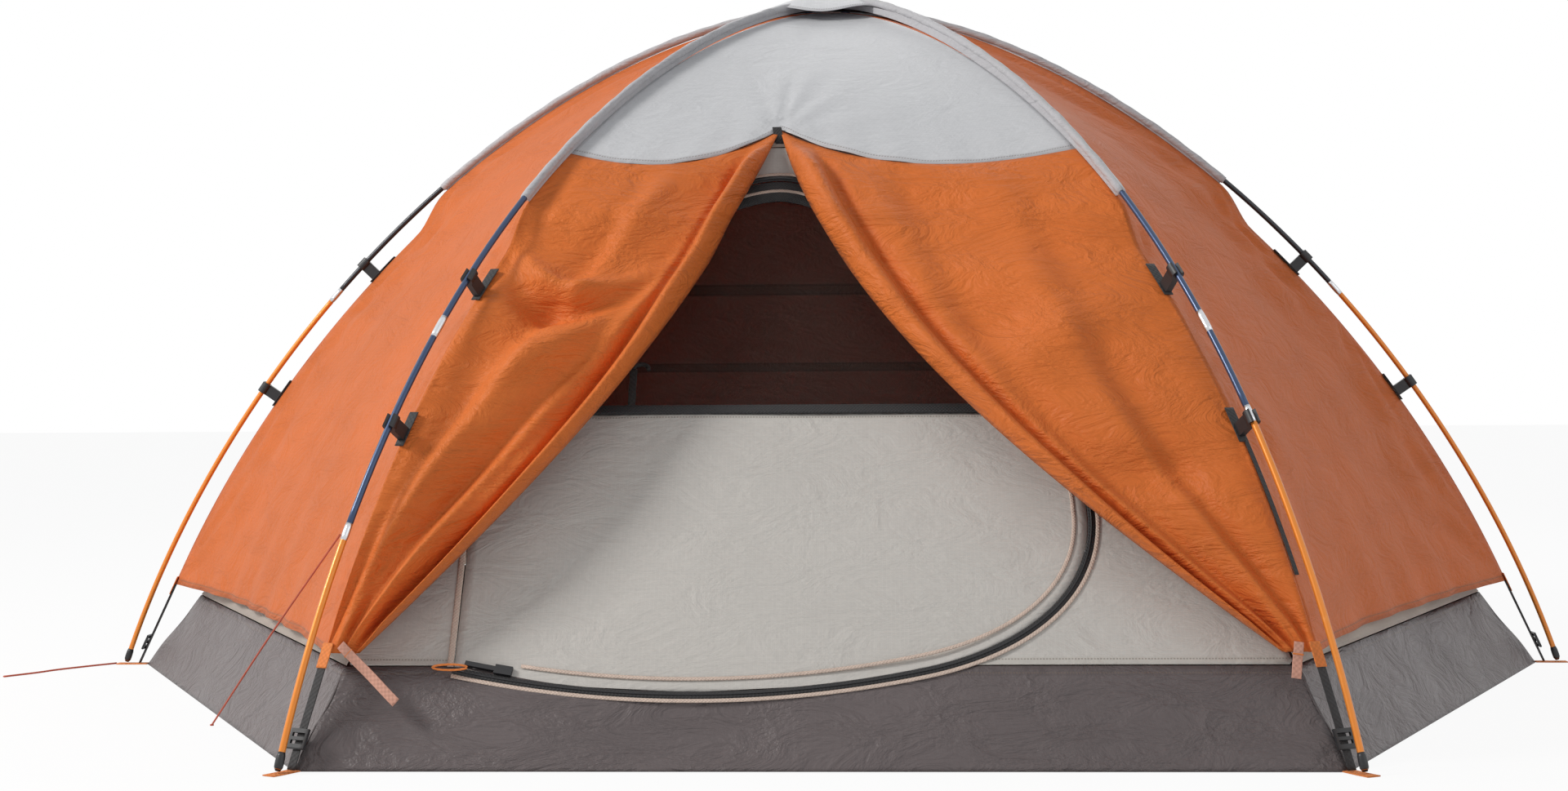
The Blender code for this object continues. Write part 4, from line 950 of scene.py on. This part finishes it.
def rimAt(up):
    # left and right ends of the door at one height up the wall
    peak = int(np.argmax(outline[:, 1]))
    low = int(np.argmin(outline[:, 1]))
    right = np.interp(up, outline[low : peak + 1, 1], outline[low : peak + 1, 0])
    left = np.interp(-up, -outline[peak:, 1], outline[peak:, 0])
    left = np.where(up < doorSize["hingeTop"], doorSize["hingeX"], left)
    return left, right


def arcUp(x):
    return arcCentre - np.sqrt(doorSize["arcRadius"] ** 2 - (x - doorSize["arcX"]) ** 2)


def makeDoor():
    # lower cloth and upper netting as grids between the hinge side and the zipped side
    span = np.linspace(0, 1, 61)[None]
    rows = np.linspace(0, 1, 61)[:, None]
    lowest = outline[:, 1].min()
    up = lowest + (doorSize["split"] - 0.0008 - lowest) * rows
    left, right = rimAt(up)
    onArc = doorSize["arcX"] - np.sqrt(np.maximum(doorSize["arcRadius"] ** 2 - (arcCentre - up) ** 2, 0))
    left = np.where(up < doorSize["hingeFoot"], onArc, left)
    x = left + (right - left) * span
    ups = np.broadcast_to(up, x.shape)
    wave = 0.0016 * ripple(x, ups, 5, 16.0) + 0.0011 * np.sin(30 * (x * 0.55 + ups * 1.1) + 2) * bump(ups, 0.35, 0.14)
    wave = (wave - 0.0022) * np.clip(np.minimum(span, 1 - span) / 0.06, 0, 1) * np.clip((ups - lowest) / 0.05, 0, 1)
    grid = onFront(x, ups, wave)
    cut = np.stack([x, ups], axis=-1)
    edges = np.stack([np.ones_like(x), doorSize["split"] - ups], axis=-1)
    piece = makePiece("door_cloth", [gridPart(grid, cut, edges, away=(0, 0, 0.2))], "innerCream", "door", wall=0.0006,
                      stands=("door_panel",))
    declareSheet(piece, grid)
    up = doorSize["split"] + 0.0008 + (outline[:, 1].max() - 0.0005 - doorSize["split"]) * np.sin(rows * math.pi / 2)
    left, right = rimAt(up)
    x = left + (right - left) * span
    ups = np.broadcast_to(up, x.shape)
    sag = -0.004 * np.sin(math.pi * span) * np.sin(math.pi * rows)
    grid = onFront(x, ups, sag)
    piece = makePiece("door_netting", [gridPart(grid, np.stack([x, ups], axis=-1), away=(0, 0, 0.2))], "netting", "door",
                      stands=("door_mesh",))
    declareSheet(piece, grid)


zipSize = {"tape": 0.0095, "binding": 0.0150, "inside": (-0.0195, -0.0145), "teeth": 0.0012, "teethReach": 0.0045}


def bandOn(line, side, inner, outer, out, lift=0.0006, columns=5):
    # a flat tape beside the door's outline, crowned a little in the middle
    steps = np.linspace(0, 1, columns)[None]
    inner, outer = (np.broadcast_to(value, (len(line),))[:, None] for value in (inner, outer))
    reach = inner * (1 - steps) + outer * steps
    place = line[:, None] + side[:, None] * reach[..., None]
    grid = onFront(place[..., 0], place[..., 1], out + lift * np.sin(math.pi * steps) * np.ones((len(line), 1)))
    cut = np.stack(np.broadcast_arrays(reach, runLength(line)[:, None]), axis=-1)
    return gridPart(grid, cut, away=(0, 0, 0.2))


def makeZip():
    # the zip on the front wall round the door, a piped binding outside it and a black border on the net
    play = doorSize["play"]
    rims = (("zip_band", 0, None, play, play + zipSize["tape"], 0.0016, "blackTape", "tent", 0.0008, "zip"),
            ("zip_binding_outer", 0, None, play + zipSize["tape"], play + zipSize["binding"], 0.0012, "creamTape",
             "tent", 0.0008, "tan_webbing"),
            ("zip_binding_inner", 4, -6, *zipSize["inside"], 0.0012, "creamTape", "door", 0.0006, "tan_webbing"))
    for name, first, last, inner, outer, out, finish, body, wall, slot in rims:
        band = bandOn(outline[first:last], outlineSide[first:last], inner, outer, out)
        makePiece(name, [band], finish, body, wall=wall, stands=("zip_tape",) if name == "zip_band" else ())
    teeth = onFront(*(outline + outlineSide * (play + zipSize["teethReach"])).T, 0.0026)
    makePiece("zip_teeth", [tubePart(teeth, zipSize["teeth"], 8)], "blackPlastic")
    high = outline[:, 1] > doorSize["split"] - 0.03
    line, side = outline[high], outlineSide[high]
    width = 0.012 + 0.024 * np.clip((line[:, 1] - 0.62) / 0.2, 0, 1)
    x = np.linspace(*(rimAt(np.array(doorSize["split"])) + np.array([0.008, -0.008])), 60)
    across = np.column_stack([x, np.full(60, doorSize["split"])])
    rise = np.linspace(doorSize["hingeFoot"], doorSize["hingeTop"], 40)
    hinge = np.column_stack([np.full(40, doorSize["hingeX"]), rise])
    upAcross, leftOut = np.tile([0.0, 1.0], (60, 1)), np.tile([-1.0, 0.0], (40, 1))
    makePiece("net_border", [bandOn(line, side, -width, -0.0005, 0.0006)], "blackTape", "door", wall=0.0008)
    makePiece("door_band", [bandOn(across, upAcross, -0.004, 0.010, 0.0010)], "blackTape", "door", wall=0.0008)
    makePiece("hinge_seam", [bandOn(hinge, leftOut, 0.001, 0.009, 0.0009)], "creamTape", wall=0.0007)


def makeFrontWall():
    # the wall round the door: rays from the door's rim out to the wall's own edge
    play = doorSize["play"]
    low = (innerSize["tub"] + innerSize["cloth"]) / frontSlope[2]
    high = (knee - innerSize["cloth"] - flySize["seamGap"]) / frontSlope[2]
    lowX = innerPlan("front_right", low * frontSlope[2])[0] - innerSize["margin"]
    highX = innerPlan("front_right", knee)[0] - innerSize["margin"]
    inner = outline + outlineSide * (play + 0.0022)
    inner = np.concatenate([inner, inner[:1]])
    dense = runLength(inner)
    at = np.linspace(0, dense[-1], 701)
    inner = np.column_stack([np.interp(at, dense, inner[:, k]) for k in (0, 1)])
    inner = inner[inner[:, 1] >= low]
    centre = np.array([-0.05, 0.45])
    ray = inner - centre
    # how far each ray may stretch before it meets the bottom, the top or a leaning side
    slope = (highX - lowX) / (high - low)
    with np.errstate(divide="ignore", invalid="ignore"):
        limits = [np.where(ray[:, 1] > 1e-9, (high - centre[1]) / ray[:, 1], np.inf),
                  np.where(ray[:, 1] < -1e-9, (low - centre[1]) / ray[:, 1], np.inf)]
        for sign in (1, -1):
            edge = lowX + slope * (centre[1] - low) - sign * centre[0]
            speed = sign * ray[:, 0] - slope * ray[:, 1]
            limits.append(np.where(speed > 1e-9, edge / speed, np.inf))
    reach = np.maximum(np.min(limits, axis=0), 1.0)
    steps = np.linspace(0, 1, 25)[None, :, None]
    place = centre + ray[:, None] * (1 + (reach[:, None, None] - 1) * steps)
    x, up = place[..., 0], place[..., 1]
    wave = (0.0018 * ripple(x, up, 9, 14.0) - 0.0015) * np.sin(math.pi * steps[..., 0])
    grid = onFront(x, up, wave)
    edges = np.stack([np.ones_like(x), up - low], axis=-1)
    piece = makePiece("front_wall_cloth", [gridPart(grid, np.stack([x, up], axis=-1), edges, away=(0, 0, 0.2))],
                      "innerCream", wall=0.0006, stands=("inner_front_wall",))


def makeShell():
    # five walls and a six-sided roof between the corner lines, each face drawn in a little
    crown = crownHeight - innerSize["crownDrop"]
    base = innerSize["tub"] + innerSize["cloth"]
    parts, grids = [], []
    for sector, (first, second) in sectors.items():
        lines = []
        for foot in (first, second):
            radius = float(innerRadius(foot, knee))
            shoulder = (radius - innerSize["shoulder"] * math.cos(innerSize["lean"]),
                        knee + innerSize["shoulder"] * math.sin(innerSize["lean"]))
            wall = innerPlan(foot, np.linspace(base, knee, 28))
            roof = inPlane(foot, bezier((radius, knee), shoulder, (innerSize["topReach"], crown), (0.0, crown),
                                        np.linspace(0, 1, 22)[1:]))
            # the front wall is a piece of its own, so that sector starts at the knee
            lines.append(np.concatenate([wall[-1:] if sector == "front" else wall, roof]))
        a, b = lines
        share = np.linspace(0, 1, 31)[None, :, None]
        rows = np.linspace(0, 1, len(a))[:, None, None]
        middle = between(first, second)
        drawn = 0.012 * np.sin(math.pi * share) * np.sin(math.pi * rows) ** 0.5
        uneven = 0.003 * ripple(share, rows, len(parts) + 3, 9.0)
        drawn = drawn + uneven * np.sin(math.pi * share) * np.sin(math.pi * rows)
        grid = a[:, None] + (b - a)[:, None] * share - middle * drawn
        width = np.linalg.norm(b - a, axis=1)[:, None]
        cut = np.stack(np.broadcast_arrays(share[..., 0] * width, runLength(a)[:, None]), axis=-1)
        seam = np.broadcast_to(a[:, 2:3, None] - np.array(innerSize["seams"]), cut.shape)
        parts.append(gridPart(grid, cut, seam, away=(0, 0, 0.3)))
        grids.append(grid)
    piece = makePiece("inner_shell", parts, "innerShellPaintedLight", wall=0.0006, stands=("inner_canopy",))
    print("inner shell area", round(sum(areaOf(grid) for grid in grids), 3))


def makeTub():
    # a floor and a low wall round six corners; the front edge dips to follow the door's arc
    corners = np.array([innerPlan(foot, 0.0) for foot in feetOrder])
    parts, grids = [], []
    share = np.linspace(0, 1, 161)[None]
    for sector, (first, second) in sectors.items():
        rows = np.linspace(0, 1, 19)[:, None]
        top = np.full((1, 161), innerSize["tub"])
        a, b = innerPlan(first, 0.0), innerPlan(second, 0.0)
        if sector == "front":
            x = a[0] + (b[0] - a[0]) * share
            dip = arcUp(np.clip(x, doorSize["hingeX"], doorSize["arcEndX"])) - doorSize["play"]
            inDoor = (x > doorSize["hingeX"] - 0.010) & (x < 0.30)
            beyond = np.interp(x, outline[29:59, 0], outline[29:59, 1]) - doorSize["play"]
            dip = np.where(x > doorSize["arcEndX"], beyond, dip)
            top = np.where(inDoor, np.minimum(top, (dip - 0.0020) * frontSlope[2]), top)
        height = top * rows
        p, q = innerPlan(first, height), innerPlan(second, height)
        grid = p + (q - p) * share[..., None]
        middle = between(first, second)
        inside = np.sin(math.pi * share)
        wave = 0.0065 * ripple(share * 2.2, rows * 0.5, len(parts) + 60, 9.0) * inside**0.7 * np.sin(math.pi * rows) ** 0.7
        pull = 0.0028 * (np.sin(26 * (share + 0.25 * rows)) * np.exp(-share / 0.14) +
                         np.sin(26 * (1 - share + 0.25 * rows)) * np.exp(-(1 - share) / 0.14)) * np.sin(math.pi * rows)
        lift = wave + pull - 0.003 * inside * np.sin(math.pi * rows)
        if sector == "front":
            lift = np.minimum(lift, 0.006)
        grid = grid + middle * lift[..., None]
        width = np.linalg.norm(b - a)
        cut = np.stack(np.broadcast_arrays(share * width, height), axis=-1)
        edges = np.stack(np.broadcast_arrays(np.ones_like(height), height - top), axis=-1)
        parts.append(gridPart(grid, cut, edges))
        # the floor: each sector's lowest row drawn in to the middle
        floor = grid[0][None] * np.linspace(0, 1, 9)[:, None, None]
        floor[..., 2] = 0.0
        parts.append(gridPart(floor, floor[..., :2].copy(), away=(0, 0, 1.0)))
        grids += [grid, floor]
    piece = makePiece("tub_cloth", parts, "tubGrey", wall=0.0008, stands=("tub_floor",))


makeTub()
makeFrontWall()
makeDoor()
makeZip()
makeShell()
print("inner tent made")


# webbing, ties, loops and hooks
strapSize = {"width": 0.020, "thickness": 0.0018, "toe": 0.014, "heel": 0.024, "tieWidth": 0.013, "tieThickness": 0.0028,
             "tieLeft": 0.105, "tieRight": 0.046, "slantLeft": math.radians(48), "slantRight": math.radians(8),
             "lean": 0.30, "standLeft": 0.0026, "standRight": 0.0019}


def makeCorner(foot):
    # orange webbing from the tub's corner to under the pole tip, and a black strap up to the fly's hem
    t = strapSize["thickness"]
    radius = footRadius(foot)
    tub = float(innerRadius(foot, 0.002)) + 0.0004
    ground = np.array([[tub, t * 0.7], [(tub + radius) / 2, t * 0.62], [radius - 0.004, t * 0.58],
                       [radius + strapSize["toe"] - 0.0005, t * 0.6]])
    line, _ = smoothRoute(np.column_stack([ground, np.zeros(4)]), 0.004)
    ground = strapPart(inPlane(foot, line[:, :2]), crosswise(foot), strapSize["width"], t)
    makePiece("foot_webbing_" + foot, [ground], "orangeWebbing", stands=("corner_strap_" + foot,))
    heel = np.array([radius - strapSize["heel"], 0.0030])
    seam = flyCorner(foot, 0.0008)
    head = seam[int(np.argmin(abs(seam[:, 1] - flySize["hem"])))] - np.array([0.0, 0.0005])
    steps = np.linspace(0, 1, 24)[:, None]
    run = unit(head - heel)
    line = heel + (head - heel) * steps
    strap = strapPart(inPlane(foot, line), crosswise(foot), strapSize["width"] * 0.62, t * 0.9)
    makePiece("tension_strap_" + foot, [strap], "blackWebbing")
    tab = np.linspace(-0.022, 0.018, 12)[:, None]
    onHem = inPlane(foot, head + run * tab * 0.8)
    makePiece("hem_patch_" + foot, [strapPart(onHem + 0.001 * outward(foot), crosswise(foot), 0.016, 0.0018)],
              "orangeWebbing")


def makeTie(name, foot, share, length, slant, standoff, body):
    # a doubled webbing tail hanging from its stitched head, with a slight wave along it
    turn = turnOf(np.array([flySize["flapFootHeight"] + strapSize["tieWidth"] / 2]), flyCrown)
    head = flyPoint("front", np.array([share]), turn)[0] + np.array([0.0, -standoff, 0.0])
    towards = -math.copysign(1.0, feet[foot][0])
    down = unit(np.array([towards * math.sin(slant), -strapSize["lean"], -math.cos(slant)]))
    wide = unit(np.cross(down, np.array([0.0, 1.0, 0.0])))
    front = np.cross(down, wide)
    front *= -math.copysign(1.0, front[1])
    reach = length - strapSize["tieWidth"] / 2
    steps = np.linspace(0, 1, 40)[:, None]
    middle = head + front * strapSize["tieThickness"] / 2
    line = middle - down * 0.005 + down * (reach + 0.005) * steps + front * 0.0008 * np.sin(9 * steps)
    parts = [strapPart(line, wide, strapSize["tieWidth"] * 0.92, strapSize["tieThickness"] * 0.62)]
    makePiece(name + "_webbing", parts, "tanWebbing", body, stands=(name,))
    # one bar of stitches across the tie's head
    bar = middle + down * 0.010 + wide * np.array([[-0.0066], [0.0], [0.0066]])
    makePiece(name + "_stitching", [tubePart(smoothRoute(bar, 0.002)[0] + front * 0.0008, 0.0010, 8)], "orangeWebbing",
              body)


for foot in feetOrder:
    makeCorner(foot)
makeTie("tie_left", "front_left", flySize["flapFoot"] / 2, strapSize["tieLeft"], strapSize["slantLeft"],
        strapSize["standLeft"], "tie_left")
makeTie("tie_right", "front_right", 1 - flySize["flapFoot"] / 2, strapSize["tieRight"], strapSize["slantRight"],
        strapSize["standRight"], "tie_right")


def makeApexZip():
    # the top end of the entrance zip: a short black tape under the roof's edge
    apex = turnOf(np.array([float(roofEdge(np.array(flySize["apex"]))) - 0.004]), flyCrown)
    place = flyPoint("front", np.array([flySize["apex"]]), apex, 0.0, 0.004)[0]
    line = place + np.array([[-0.004, 0.0, 0.004], [-0.002, -0.0015, -0.008], [0.001, -0.002, -0.022],
                             [0.002, -0.001, -0.034]])
    route, _ = smoothRoute(line, 0.003)
    makePiece("apex_zip", [strapPart(route, [1.0, 0.0, 0.0], 0.013, 0.0022)], "blackTape")


def makePull():
    # a flat loop of orange cord through the slider's pull
    low, high = (np.array(corner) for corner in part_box("zip_slider"))
    start = np.array([low[0] + 0.004, low[1] - 0.0006, (low[2] + high[2]) / 2 + 0.002])
    turn = np.linspace(0, 2 * math.pi, 49)
    loop = start + np.column_stack([-0.020 + 0.021 * np.cos(turn), np.full(49, -0.0012),
                                    0.0034 * np.sin(turn) + 0.001])
    makePiece("zip_pull_cord", [tubePart(loop[:-1], 0.0014, 8)], "orangeWebbing", "zip_slider")


def makeHook():
    # black strap with a hooked end that stands behind the netting on the door's dark band
    rise = np.linspace(0, 1, 24)
    strap = onFront(-0.250, doorSize["split"] + 0.004 + 0.070 * rise, -0.0085)
    turn = np.linspace(0, math.pi, 16)
    hook = onFront(-0.240 - 0.010 * np.cos(turn), doorSize["split"] + 0.074 + 0.009 * np.sin(turn), -0.0085)
    makePiece("door_hook_strap", [strapPart(strap, [1.0, 0, 0], 0.010, 0.0018), tubePart(hook, 0.0030, 10)],
              "blackWebbing", "door")


makeHook()
makeApexZip()
makePull()
makeClipTabs()
print("webbing made")


# CAD pieces that stay, with their own finishes
for name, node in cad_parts.items():
    if name.startswith(("clip_", "buckle_", "zip_slider")):
        node.data.materials.clear()
        node.data.materials.append(finishes["blackPlastic"])
